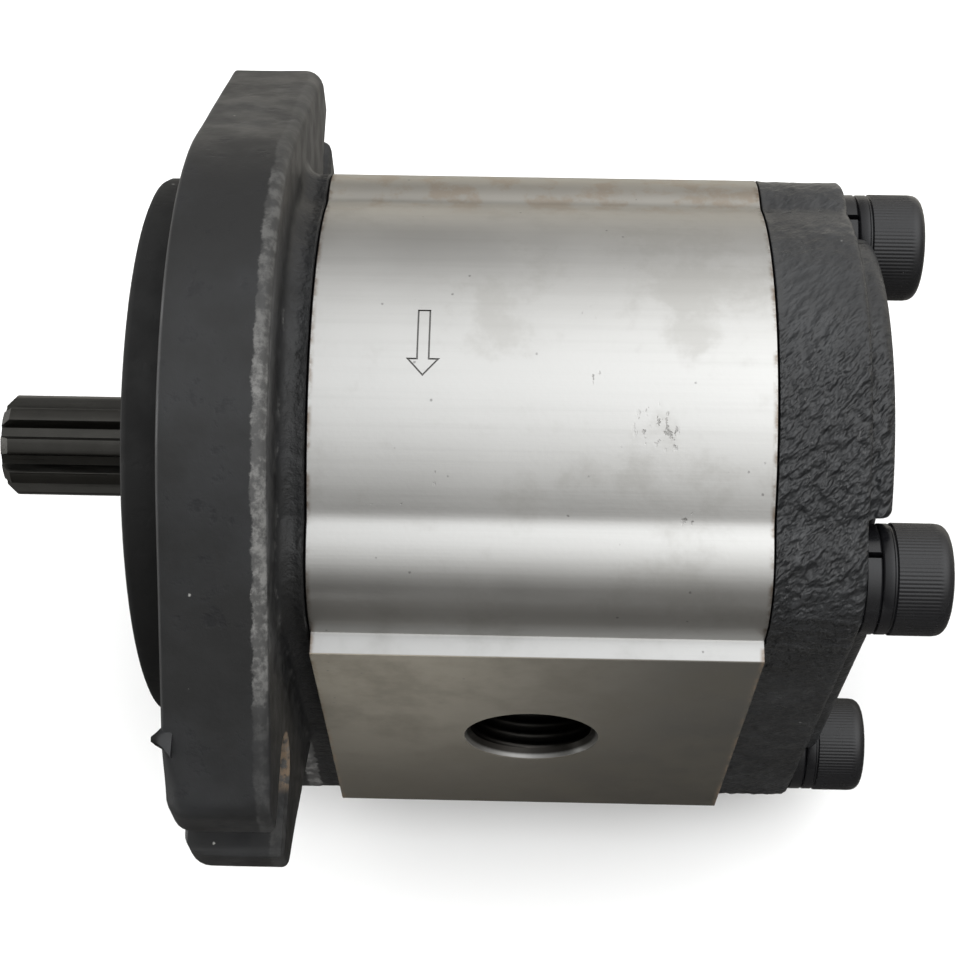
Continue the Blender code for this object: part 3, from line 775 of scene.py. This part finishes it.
def scuffs(place):
    """A mask of dents and rubs: clustered round the knocks, rare elsewhere."""
    marks = grain(scaled(place, 1.0, 0.6, 0.6), 1.0, 4.0, 0.62)
    knocked = None
    for x, turn, reach in KNOCKS:
        turn = math.radians(turn)
        centre = (x, -END_RADIUS * math.sin(turn), END_RADIUS * math.cos(turn))
        here = ramp(length(offset_from(place, centre)), 0.3 * reach, reach, 1.0, 0.0)
        knocked = maths("MAXIMUM", here, knocked) if knocked else here
    clustered = times(ramp(marks, 0.57, 0.64), knocked)
    rare = times(ramp(marks, 0.70, 0.76), ramp(grain(place, 9.0, 2.0), 0.55, 0.66))
    return maths("MAXIMUM", clustered, rare)


def port_face_colour_and_shade(place, x, z):
    """Matte grey with painted shade, darker towards the rear and the bottom, and stains."""
    rearward = ramp(x, BODY_LOW.x, BODY_HIGH.x)
    downward = ramp(z, CENTRE_Z + PORT_PAD_HALF, CENTRE_Z - PORT_PAD_HALF)
    stains = ramp(grain(place, 9.0, 5.0, 0.6), 0.35, 0.7)
    matte = mixed(rearward, MATTE_LIT_FRONT, MATTE_SHADED_REAR)
    return layered(matte, (downward, 0.85, MATTE_SHADED_LOW), (stains, 0.45, MATTE_STAIN))


def port_insides_painted_shade(place):
    """1 inside the ports, 0 elsewhere."""
    offset = offset_from(place, (PORT_CENTRE.x, 0.0, CENTRE_Z))
    from_port = length(vector_maths("MULTIPLY", offset, (1.0, 0.0, 1.0)))
    return ramp(from_port, PORT_MOUTH_RADIUS - 0.6, PORT_MOUTH_RADIUS - 0.3, 1.0, 0.0)


def rusty_seams(place, x):
    """Patches of rust along the body's two ends, fainter on its end faces."""
    front_seam = ramp(x, BODY_LOW.x + 0.9, BODY_LOW.x + 0.1)
    rear_seam = ramp(x, BODY_HIGH.x - 0.9, BODY_HIGH.x - 0.1)
    patches = ramp(grain(place, 3.0, 4.0, 0.7), 0.38, 0.66)
    return times(maths("MAXIMUM", front_seam, rear_seam), patches, end_facing(place, 0.3, 0.8))


def extruded_aluminium():
    """Satin aluminium with fine lines along X, matte machined port faces, stained seams and painted shade."""
    made, shader, place = new_material("bare_aluminium_body")
    x, y, z = axes(place)
    drawn_out = scaled(place, 0.02, 1.0, 1.0)
    clouds = grain(place, 22.0, 4.0, 0.55)
    dull = ramp(grain(place, 13.0, 5.0, 0.66), 0.50, 0.68)
    beige = times(ramp(y, 21.0, 27.0), ramp(grain(place, 6.0, 4.0, 0.7), 0.47, 0.62))
    out = maths("ABSOLUTE", y)
    port_face = ramp(out, PORT_FACE_Y - 0.25, PORT_FACE_Y - 0.1)
    marks = scuffs(place)
    engraved = band(off_axis(y, z), END_RADIUS - 0.6, END_RADIUS - 0.06, 0.03)
    base = layered(
        mixed(clouds, (0.47, 0.465, 0.45), (0.56, 0.555, 0.54)),
        (ramp(grain(drawn_out, 1.6, 4.0, 0.65), 0.45, 0.72), 0.16, (0.37, 0.365, 0.35)),
        (dull, 0.36, (0.36, 0.35, 0.325)),
        # Painted shade: darker and warmer towards +Y, over the body's far side.
        (ramp(y, 12.0, 34.0), 1.0, (0.43, 0.41, 0.37)),
        (beige, 0.6, (0.38, 0.31, 0.24)),
        (ramp(out, SIDE_Y + 0.1, SIDE_Y + 0.4), 0.4, (0.30, 0.30, 0.30)),
        # Port faces: matte grey with painted shade towards the rear and the bottom.
        (port_face, 1.0, port_face_colour_and_shade(place, x, z)),
        # Painted shade: the ports' insides near black.
        (port_insides_painted_shade(place), 1.0, (0.05, 0.047, 0.043)),
        (rusty_seams(place, x), 1.0, (0.16, 0.11, 0.07)),
        (marks, 0.55, (0.16, 0.155, 0.15)),
        (specks(place, 2.4, 0.26), 0.6, (0.12, 0.115, 0.11)),
        (engraved, 0.85, (0.05, 0.048, 0.045)),
    )
    link(base, shader, "Base Color")
    link(ramp(port_face, 0.0, 1.0, 1.0, 0.25), shader, "Metallic")
    rough = maths("ADD", ramp(clouds, 0.3, 0.7, 0.30, 0.37), times(dull, 0.05))
    link(maths("ADD", rough, times(port_face, 0.25)), shader, "Roughness")
    bumped(shader, grain(drawn_out, 0.35, 3.0, 0.6), 0.02, 0.3)
    bumped(shader, grain(place, 0.7, 4.0, 0.6), 0.02, 0.4)
    bumped(shader, marks, -0.05)
    return made


def simple_look(name, colours, clouds, marks, roughness, bump, stretch=None, bright=None, **plain):
    """Clouds of colour and finer marks, and bright specks where they are asked for.

    Clouds and marks are grain's size, detail and roughness. The marks of bare metals are
    stretched, and their roughness follows them. The roughness of the rest follows the clouds.
    """
    made, shader, place = new_material(name, **plain)
    cloudy = grain(place, *clouds)
    fine = grain(scaled(place, *stretch) if stretch else place, *marks)
    base = mixed(cloudy, *colours)
    if bright:
        base = mixed(specks(place, *bright), base, (0.40, 0.40, 0.40))
    link(base, shader, "Base Color")
    link(ramp(fine if stretch else cloudy, 0.3, 0.7, *roughness), shader, "Roughness")
    bumped(shader, fine, *bump)
    return made


def dark_steel():
    """Heat-treated steel with faint marks along X."""
    return simple_look(
        "shaft_steel", ((0.0372, 0.036, 0.033), (0.062, 0.060, 0.055)), (4.0, 4.0, 0.6),
        (0.6, 4.0, 0.6), (0.26, 0.40), (0.03, 0.4), stretch=(0.08, 1.0, 1.0), Metallic=1.0,
    )


def black_oxide():
    """Oiled black screws with a few bright specks."""
    return simple_look(
        "black_oxide", ((0.004, 0.004, 0.005), (0.009, 0.009, 0.010)), (3.0, 3.0, 0.6),
        (0.5, 4.0, 0.6), (0.20, 0.29), (0.02, 0.4), bright=(4.5, 0.24), Specular_IOR_Level=0.42,
    )


def rubber():
    pores = (0.4, 4.0, 0.6)
    colours = ((0.010, 0.010, 0.010), (0.022, 0.022, 0.021))
    return simple_look("black_rubber", colours, pores, pores, (0.6, 0.8), (0.04, 0.5))


def turned_metal(name, low, high, roughness):
    """Bare metal with turning marks round X."""
    return simple_look(
        name, (low, high), (6.0, 3.0, 0.6), (0.5, 4.0, 0.6), (roughness - 0.05, roughness + 0.1),
        (0.02, 0.5), stretch=(1.0, 0.1, 0.1), Metallic=1.0,
    )


def white_plastic():
    colours = ((0.62, 0.61, 0.57), (0.74, 0.73, 0.70))
    return simple_look("white_plastic", colours, (5.0, 3.0, 0.5), (0.4, 3.0, 0.5), (0.4, 0.5), (0.02, 0.4))


# ---- covers


def ear_end(distance):
    """0 up to where an ear's end starts to round, 1 at its end."""
    return smoothstep(EAR_END_Y - 9.0, EAR_END_Y - 1.0, distance)


def flange_front_radius(y, z):
    return 0.7 + 2.6 * ear_end(-y)


def flange_rear_radius(y, z):
    return 1.7 + 1.2 * ear_end(y) - 0.7 * ear_end(-y)


def neck_flare(y, z):
    """How far the neck's foot spreads over the flange: nowhere where the flange ends."""
    return NECK_FILLET * smoothstep(FLANGE_RADIUS, FLANGE_RADIUS - 5.0, math.hypot(y, z))


def neck():
    """The thicker lobes behind the flange, their foot filleted into it."""
    outline = cover_outline()
    rings = wall(outline, LOBE_FRONT, FLANGE_THICKNESS - 0.6, front=1.6, grow=neck_flare, step=1.5)
    stations = [(FLANGE_THICKNESS + NECK_FILLET * rise, share) for rise, share in quarter_turn(8)]
    rear_edge = FRONT_HIGH.x
    chamfer = 0.25
    while stations[-1][0] < rear_edge - 0.8:
        stations.append((stations[-1][0] + OUTLINE_STEP, 0.0))
    stations.append((rear_edge - chamfer, 0.0))
    for x, share in stations:
        rings.append(ring_at(x, outline, lambda y, z: share * neck_flare(y, z) + neck_relief(x, y, z)))
    rings.append(ring_at(rear_edge, outline, lambda y, z: neck_relief(rear_edge, y, z) - chamfer))
    return piece("neck", loft(rings))


def slot_cutter(side):
    """A slot's cutter, flared a little where it meets both faces."""
    outline = slot_outline(side)
    flare = 0.5
    beyond = 0.6
    stations = (
        (-beyond, flare + beyond),
        (flare, 0.0),
        (FLANGE_THICKNESS - flare, 0.0),
        (FLANGE_THICKNESS + beyond, flare + beyond),
    )
    return piece("slot_cutter", loft([ring_at(x, outline, off) for x, off in stations]))


def casting_flash():
    """A broken stub of flash on the flange's front corner."""
    rings = []
    for share, size in ((0.0, 2.4), (0.4, 1.4), (0.8, 0.7), (1.0, 0.3)):
        centre = Vector((1.6 - 2.7 * share, -54.8 - 0.7 * share, 19.0 + 1.6 * share))
        ring = []
        for i in range(10):
            turn = 2 * math.pi * i / 10
            ragged = size * (1.0 + 0.25 * math.sin(3 * turn + 4 * share))
            across = Vector((0.0, 1.25 * ragged * math.cos(turn), 0.6 * ragged * math.sin(turn)))
            ring.append(tuple(centre + across))
        rings.append(ring)
    return piece("casting_flash", loft(rings))


def make_front_cover(look):
    flange = wall(
        flange_outline(), 0.0, FLANGE_THICKNESS, flange_front_radius, flange_rear_radius,
        relief=flange_relief, step=1.0,
    )
    cover = piece("front_cover_casting", loft(flange))
    pilot = [(6.0, PILOT_RADIUS), (FRONT_LOW.x + 1.0, PILOT_RADIUS)]
    pilot += [(FRONT_LOW.x + 0.3, PILOT_RADIUS - 0.35), (FRONT_LOW.x, PILOT_RADIUS - 1.0)]
    pilot = piece("pilot", turned(pilot, 180))
    combine(cover, [neck(), pilot, casting_flash()], "UNION")
    shaft_way = [
        (FRONT_LOW.x - 2.0, SEAL_BORE + 0.6 + 2.0),
        (FRONT_LOW.x + 0.6, SEAL_BORE),
        (RING_LOW.x - 0.15, SEAL_BORE),
        (RING_LOW.x - 0.15, SEAL_BORE + 1.0),
        (RING_HIGH.x + 0.15, SEAL_BORE + 1.0),
        (RING_HIGH.x + 0.15, SEAL_BORE),
        (SEAL_SEAT_END, SEAL_BORE),
        (SEAL_SEAT_END, COVER_BORE),
        (FRONT_HIGH.x + 2.0, COVER_BORE),
    ]
    cutters = [
        slot_cutter(1),
        slot_cutter(-1),
        piece("shaft_way", turned(shaft_way)),
        screw_holes(span("cap_screw_1")[0].x - 1.0, FRONT_HIGH.x + 2.0),
        dowel_holes(1, -1),
        seal_groove("front_body_seal", -1),
    ]
    combine(cover, cutters)
    shaded(cover, look, "front_cover")


def seat_cutter():
    """Flat seats round the screws, filleted at the foot and eased at the top."""
    radius = SCREW_SEAT_RADIUS
    profile = [(COVER_REAR + rise, radius - share) for rise, share in quarter_turn(4)]
    top = REAR_HIGH.x
    profile += [(top - 0.8, radius), (top - 0.2, radius + 0.25), (top + 3.0, radius + 4.0)]
    maker = bmesh.new()
    for number in SCREWS:
        turned(profile, 96, screw_axis(number), maker)
    return piece("seat_cutter", maker)


def crown():
    """The rear cover's raised middle, its foot filleted into the plate."""
    outline = crown_outline()
    fillet = 1.4
    rings = [ring_at(COVER_REAR - 2.0, outline, fillet)]
    for rise, share in quarter_turn(5):
        x = COVER_REAR - 0.05 + fillet * rise
        rings.append(ring_at(x, outline, fillet * share))
    upper = wall(outline, COVER_REAR - 2.0, REAR_HIGH.x, 0.0, 2.0, step=1.0)
    rings += [ring for ring in upper if ring[0][0] > x + 0.05]
    return piece("crown", loft(rings))


def make_rear_cover(look):
    plate = wall(cover_outline(), REAR_LOW.x, COVER_REAR, 0.15, 1.1, relief=rear_relief)
    cover = piece("rear_cover_casting", loft(plate))
    combine(cover, [crown()], "UNION")
    cutters = [seat_cutter(), screw_holes(REAR_LOW.x - 2.0, COVER_REAR + 2.0)]
    cutters += [dowel_holes(3, 1), seal_groove("rear_body_seal", 1)]
    combine(cover, cutters)
    shaded(cover, look, "rear_cover")


# ---- body


def port_cutter(side):
    """A threaded port with a chamfered mouth, cut to the gear chamber."""
    segments = 72
    mouth = PORT_FACE_Y - PORT_MOUTH_DEPTH
    thread_start = mouth - 14.0
    rings = [at(0.0, circle(PORT_RADIUS - THREAD_DEPTH, segments))]
    steps_per_pitch = 8
    steps = round((mouth - thread_start) / THREAD_PITCH * steps_per_pitch)
    for i in range(steps + 1):
        depth = thread_start + (mouth - thread_start) * i / steps
        fade = smoothstep(thread_start, thread_start + 2.0, depth)
        ring = []
        for j in range(segments):
            turn = 2 * math.pi * j / segments
            phase = (depth / THREAD_PITCH + side * j / segments) % 1.0
            tooth = abs(2 * phase - 1)
            radius = PORT_RADIUS - THREAD_DEPTH * (1.0 - fade * min(1.0, 1.6 * tooth))
            ring.append((depth, *polar(radius, turn)))
        rings.append(ring)
    rings.append(at(mouth + 0.01, circle(PORT_RADIUS, segments)))
    rings += [at(depth, circle(PORT_MOUTH_RADIUS, segments)) for depth in (PORT_FACE_Y, PORT_FACE_Y + 2.0)]
    maker = loft(rings)
    turn = Matrix.Rotation(side * math.pi / 2, 3, "Z")
    bmesh.ops.rotate(maker, cent=(0.0, 0.0, 0.0), matrix=turn, verts=maker.verts)
    bmesh.ops.translate(maker, vec=(PORT_CENTRE.x, 0.0, CENTRE_Z), verts=maker.verts)
    return piece("port_cutter", maker)


def arrow_points(grow):
    """The arrow's outline, grown by grow, as (x, distance round the body from its top)."""
    half_shaft = ARROW_HALF_SHAFT + grow
    half_head = ARROW_HALF_HEAD + 2.2 * grow
    start = ARROW_START - grow
    neck_end = ARROW_NECK - grow
    tip = ARROW_TIP + 1.45 * grow
    right = [(half_shaft, start), (half_shaft, neck_end), (half_head, neck_end)]
    left = [(-x, s) for x, s in reversed(right)]
    line = [(ARROW_X + x, s) for x, s in right + [(0.0, tip)] + left]
    return [between(a, b, i / 8) for a, b in zip(line, line[1:] + line[:1]) for i in range(8)]


def arrow_cutter():
    """The engraved line of the arrow that shows which way the shaft turns."""
    inner = ARROW_LINE / -2
    outer = ARROW_LINE / 2
    bottom = END_RADIUS - ARROW_DEPTH
    top = END_RADIUS + 0.5
    rings = []
    for grow, radius in ((inner, bottom), (inner, top), (outer, top), (outer, bottom)):
        ring = []
        for x, distance in arrow_points(grow):
            turn = distance / END_RADIUS
            ring.append((x, -radius * math.sin(turn), radius * math.cos(turn)))
        rings.append(ring)
    return piece("arrow_cutter", loft(rings, closed=True))


def make_body(look):
    rings = wall(body_outline(), BODY_LOW.x, BODY_HIGH.x, 0.18, 0.18, step=8.0)
    body = piece("pump_body_extrusion", loft(rings))
    cutters = [
        piece("chamber", prism(figure_eight(CHAMBER_RADIUS), BODY_LOW.x - 2.0, BODY_HIGH.x + 2.0)),
        port_cutter(-1),
        port_cutter(1),
        screw_holes(BODY_LOW.x - 2.0, BODY_HIGH.x + 2.0),
        dowel_holes(1, 1),
        dowel_holes(3, -1),
        arrow_cutter(),
    ]
    combine(body, cutters)
    shaded(body, look, "pump_body")


# ---- shaft and its seal


def make_shaft(look):
    gear_low, gear_high = gear_ends()
    shaft = piece("splined_drive_shaft", prism(gear_outline(), gear_low, gear_high))
    chamfer = 0.6
    rear_end = SHAFT_HIGH.x
    journal = [
        (SPLINE_END, JOURNAL_RADIUS - chamfer),
        (SPLINE_END + chamfer, JOURNAL_RADIUS),
        (rear_end - chamfer, JOURNAL_RADIUS),
        (rear_end, JOURNAL_RADIUS - chamfer),
    ]
    front_end = SHAFT_LOW.x
    spline = piece("spline", prism(spline_outline(), front_end, SPLINE_END + 2.0))
    tip_radius = SPLINE_MAJOR + 0.1
    tip = [(front_end, tip_radius - 1.4), (front_end + 1.5, tip_radius), (SPLINE_END + 3.0, tip_radius)]
    combine(spline, [piece("tip", turned(tip))], "INTERSECT")
    combine(shaft, [piece("journal", turned(journal)), spline], "UNION")
    centre_hole = [(front_end - 1.0, 2.6), (front_end, 1.9), (front_end + 1.2, 0.8), (front_end + 3.0, 0.75)]
    combine(shaft, [piece("centre_hole", turned(centre_hole, 32))])
    shaded(shaft, look, "drive_shaft", "drive", 30.0)


def gear_ends():
    """Where both gears start and end along X: halfway between the bearing blocks' inner faces."""
    gap = 0.06
    return span("front_bearing_block")[1].x + gap, span("rear_bearing_block")[0].x - gap


def make_shaft_seal(look):
    """A lip seal: a flat back, an outer wall and a lip with its dust edge towards the shaft."""
    outer = SEAL_HIGH.y
    inner = JOURNAL_RADIUS
    low, high = SEAL_LOW.x, SEAL_HIGH.x
    profile = (
        (low, inner + 4.5),
        (low, outer - 0.8),
        (low + 0.8, outer),
        (high - 0.6, outer),
        (high, outer - 0.6),
        (high, outer - 2.5),
        (0.0, outer - 2.4),
        (0.0, inner + 2.5),
        (3.5, inner + 1.6),
        (3.5, inner + 0.3),
        (2.9, inner + 0.12),
        (2.3, inner + 0.3),
        (-0.2, inner + 1.2),
        (-1.2, inner + 1.2),
        (-1.6, inner + 1.8),
        (-1.6, inner + 4.1),
    )
    seal = piece("lip_seal", turned(profile, 144, closed=True))
    shaded(seal, look, "shaft_seal")


def split_ring(name, inner, outer, start, end, gap, rim, centre=(0.0, 0.0)):
    """A flat ring with eased rims and a gap towards +Z."""
    half_gap = math.asin(gap / 2 / outer)
    profile = [(start, inner), (start, outer - rim), (start + rim, outer)]
    profile += [(end - rim, outer), (end, outer - rim), (end, inner)]
    rings = []
    steps = 72
    for i in range(steps + 1):
        turn = math.pi / 2 + half_gap + (2 * math.pi - 2 * half_gap) * i / steps
        rings.append([(x, *polar(r, turn, centre)) for x, r in profile])
    return piece(name, loft(rings))


def make_retaining_ring(look):
    outer = RING_HIGH.y
    ring = split_ring("retaining_ring", outer - 3.0, outer, RING_LOW.x, RING_HIGH.x, 7.4, 0.15)
    shaded(ring, look, "seal_retaining_ring")


# ---- fasteners


def head_ring(x, radius, knurl, centre):
    """One ring of a screw head, with axial knurls cut knurl deep."""
    per_knurl = 6
    shape = (0.0, 0.35, 0.85, 1.0, 0.85, 0.35)
    points = []
    for i in range(KNURLS * per_knurl):
        turn = 2 * math.pi * i / (KNURLS * per_knurl)
        r = radius - knurl * (1.0 - shape[i % per_knurl])
        points.append((x, *polar(r, turn, centre)))
    return points


def make_screw(number, look):
    low, high = span(f"cap_screw_{number}")
    centre = screw_axis(number)
    radius = (high.y - low.y) / 2
    top = high.x
    seat = top - HEAD_HEIGHT
    profile = [
        (low.x, SHANK_RADIUS - 1.0, 0.0),
        (low.x + 1.0, SHANK_RADIUS, 0.0),
        (seat, SHANK_RADIUS, 0.0),
        (seat, radius - 0.35, 0.0),
        (seat + 0.25, radius - 0.12, 0.0),
        (seat + 1.55, radius - 0.12, 0.0),
        (seat + 1.75, radius - 0.38, 0.0),
        (seat + 1.95, radius - 0.38, 0.0),
        (seat + 2.15, radius, KNURL_DEPTH),
        (top - 2.3, radius, KNURL_DEPTH),
        (top - 1.9, radius, 0.5 * KNURL_DEPTH),
        (top - 1.65, radius - 0.03, 0.0),
    ]
    for rise, share in quarter_turn(6)[1:]:
        profile.append((top - HEAD_ROUND * share, radius - 0.03 - HEAD_ROUND * rise, 0.0))
    screw = piece(f"socket_screw_{number}", loft([head_ring(x, r, k, centre) for x, r, k in profile]))
    bottom = top - HEX_DEPTH
    corner = HEX_FLATS / math.sqrt(3.0)
    hexagon = arc(corner, math.pi / 6, 11 * math.pi / 6, 5, centre)
    socket = piece("socket", prism(hexagon, bottom, top + 2.0))
    mouth = [(top - 0.55, corner - 0.35), (top + 1.0, corner + 1.2)]
    mouth = piece("socket_mouth", turned(mouth, 48, centre))
    drill = HEX_FLATS / 2 - 0.15
    drilled = [(bottom - 1.6, 0.3), (bottom + 0.01, drill), (top, drill)]
    drilled = piece("drilled_end", turned(drilled, 48, centre))
    combine(screw, [socket, mouth, drilled])
    shaded(screw, look, f"cap_screw_{number}", sharp=50.0)


def make_washer(number, look):
    low, high = span(f"spring_washer_{number}")
    outer = (high.y - low.y) / 2
    washer = split_ring(f"split_washer_{number}", 5.2, outer, low.x, high.x, 0.9, 0.25, screw_axis(number))
    shaded(washer, look, f"spring_washer_{number}")


# ---- all pieces

steel = dark_steel()
oxide = black_oxide()
soft_rubber = rubber()

make_front_cover(painted_front())
make_rear_cover(painted_rear())
make_body(extruded_aluminium())
make_shaft(steel)
make_shaft_seal(soft_rubber)
make_retaining_ring(steel)
for number in SCREWS:
    make_screw(number, oxide)
    make_washer(number, oxide)

INNER_LOOKS = {
    "ground_steel": turned_metal("ground_steel", (0.42, 0.42, 0.41), (0.55, 0.55, 0.54), 0.25),
    "cast_aluminium": turned_metal("machined_aluminium", (0.58, 0.58, 0.57), (0.70, 0.70, 0.69), 0.40),
    "bronze_lining": turned_metal("bronze_lining", (0.42, 0.26, 0.13), (0.56, 0.37, 0.20), 0.38),
    "black_rubber": soft_rubber,
    "white_plastic": white_plastic(),
}
for part in RECORD["subparts"]:
    obj = frame["nodes"][part["node"]]
    if not obj.hide_render:
        obj.data.materials.clear()
        obj.data.materials.append(INNER_LOOKS[part["material_slot"]])


# ---- floor, light and camera

# In metres.
FLOOR_HALF = 3.0
CARD_HALF = 1.5
CARD_HEIGHT = 0.0005
BACKDROP_RADIUS = 2.9

# Brightness of the sky dome by direction, and watts.
DOME_PEAK = 1.5
DOME_EDGES = (0.14, 0.36)
DOME_FALLOFF = 2.6
DOME_LEFT = 0.75
DOME_MIDDLE = 0.86
DOME_RIGHT = 2.1
OVERHEAD_POWER = 11.0
FRONT_POWER = 12.0


def make_floor():
    """A wide pale floor under the pump, with a very faint mottle."""
    maker = bmesh.new()
    bmesh.ops.create_grid(maker, x_segments=8, y_segments=8, size=FLOOR_HALF)
    floor = scene_object("floor", maker)
    made, shader, place = new_material("pale_floor", Roughness=0.85, Specular_IOR_Level=0.2)
    mottle = grain(place, 60.0, 3.0)
    link(mixed(mottle, (0.86, 0.86, 0.855), (0.90, 0.90, 0.895)), shader, "Base Color")
    floor.data.materials.append(made)


def hide_from(obj, *rays):
    for ray in rays:
        setattr(obj, f"visible_{ray}", False)


def area_light(name, place, target, size, power):
    data = bpy.data.lights.new(name, "AREA")
    data.shape = "RECTANGLE"
    data.size, data.size_y = size
    data.energy = power
    light = placed(bpy.data.objects.new(name, data))
    light.location = place
    light.rotation_mode = "QUATERNION"
    light.rotation_quaternion = (Vector(target) - Vector(place)).to_track_quat("-Z", "Y")
    return light


def make_card():
    """A dark sheet that only shows in reflections, a painted reflection so polished sides don't mirror a white
    floor.
    """
    maker = bmesh.new()
    lift = Matrix.Translation((0.0, 0.0, CARD_HEIGHT))
    bmesh.ops.create_grid(maker, x_segments=1, y_segments=1, size=CARD_HALF, matrix=lift)
    card = scene_object("painted_reflection_card", maker)
    made, shader, place = new_material("painted_reflection_card", Roughness=0.9, Specular_IOR_Level=0.1)
    x, y, _ = node(place, "SeparateXYZ", {0: place}).node.outputs
    # Painted reflection: dark in front of the pump, paler behind it and to the left.
    base = mixed(ramp(y, -0.05, 0.3), (0.09, 0.087, 0.082), (0.46, 0.44, 0.40))
    base = mixed(ramp(x, -0.12, -0.30), base, (0.40, 0.40, 0.39))
    link(base, shader, "Base Color")
    card.data.materials.append(made)
    hide_from(card, "camera", "diffuse", "shadow", "transmission")


def make_backdrop():
    """A pale dome that only the camera sees, so the floor runs into it without a horizon."""
    maker = bmesh.new()
    bmesh.ops.create_uvsphere(maker, u_segments=64, v_segments=32, radius=BACKDROP_RADIUS)
    low = [vert for vert in maker.verts if vert.co.z < -0.3]
    bmesh.ops.delete(maker, geom=low, context="VERTS")
    bmesh.ops.reverse_faces(maker, faces=maker.faces)
    backdrop = scene_object("backdrop", maker)
    backdrop.data.shade_smooth()
    made, shader, place = new_material(
        "pale_backdrop", Roughness=1.0, Specular_IOR_Level=0.0, Emission_Strength=1.0,
        Base_Color=(0.0, 0.0, 0.0, 1.0),
    )
    height = node(place, "SeparateXYZ", {0: place}, "Z")
    pale = mixed(grain(place, 400.0), (0.93, 0.93, 0.93), (0.96, 0.96, 0.96))
    pale = mixed(ramp(height, 0.2, 2.8), pale, (0.88, 0.885, 0.89))
    link(pale, shader, "Emission Color")
    backdrop.data.materials.append(made)
    hide_from(backdrop, "diffuse", "glossy", "shadow", "transmission")


def make_world():
    """A dome that is brightest overhead, a little to the rear cover's side, and dim low in front."""
    world = bpy.data.worlds.new("studio")
    world.use_nodes = True
    tree = world.node_tree
    direction = node(tree, "TexCoord", output="Generated")
    brightest = Vector((0.0, 0.07, 1.0)).normalized()
    inputs = {0: direction, 1: brightest}
    lined_up = node(tree, "VectorMath", inputs, "Value", operation="DOT_PRODUCT")
    share = node(tree, "MapRange", {"Value": lined_up, 1: -0.1, 2: 1.0, 3: 0.0, 4: 1.0})
    x, y, _ = node(tree, "SeparateXYZ", {0: direction}).node.outputs
    overhead = times(maths("POWER", share, DOME_FALLOFF), DOME_PEAK - DOME_EDGES[0])
    level = maths("ADD", overhead, ramp(y, 0.0, 0.8, *DOME_EDGES))
    left = ramp(x, -0.6, -0.1, DOME_LEFT, DOME_MIDDLE)
    right = ramp(x, -0.15, 0.45, 0.0, DOME_RIGHT - DOME_MIDDLE)
    background = tree.nodes["Background"]
    link(mixed(share, (1.0, 0.97, 0.92), (0.97, 0.985, 1.0)), background, "Color")
    link(times(level, maths("ADD", left, right)), background, "Strength")
    bpy.context.scene.world = world


def make_lights():
    """Large soft boxes overhead and before the front cover, and the dome."""
    overhead = area_light("overhead", (0.0, -0.35, 1.15), (0.0, 0.0, 0.06), (1.6, 1.6), OVERHEAD_POWER)
    hide_from(overhead, "glossy")
    area_light("front", (-1.15, 0.15, 0.40), (0.0, 0.0, 0.07), (1.0, 0.8), FRONT_POWER)
    make_world()


def make_camera():
    """Looks down on the inlet side, 66 degrees below the horizon, from 0.3 m away."""
    place = ORIGIN + Vector((46.63, -140.24, 261.22)) * MM
    azimuth = Matrix.Rotation(math.radians(2.203), 4, "Z")
    tilt = Matrix.Rotation(math.radians(24.257), 4, "X")
    roll = Matrix.Rotation(math.radians(-0.897), 4, "Z")
    data = bpy.data.cameras.new("camera")
    data.sensor_width = 36.0
    data.lens = 70.99
    data.shift_x = 0.0015
    data.shift_y = 0.1095
    data.clip_start = 0.02
    data.clip_end = 20.0
    camera = placed(bpy.data.objects.new("camera", data))
    camera.matrix_world = Matrix.Translation(place) @ azimuth @ tilt @ roll
    bpy.context.scene.camera = camera


make_floor()
make_backdrop()
make_card()
make_lights()
make_camera()
bpy.context.scene.view_settings.view_transform = "Standard"
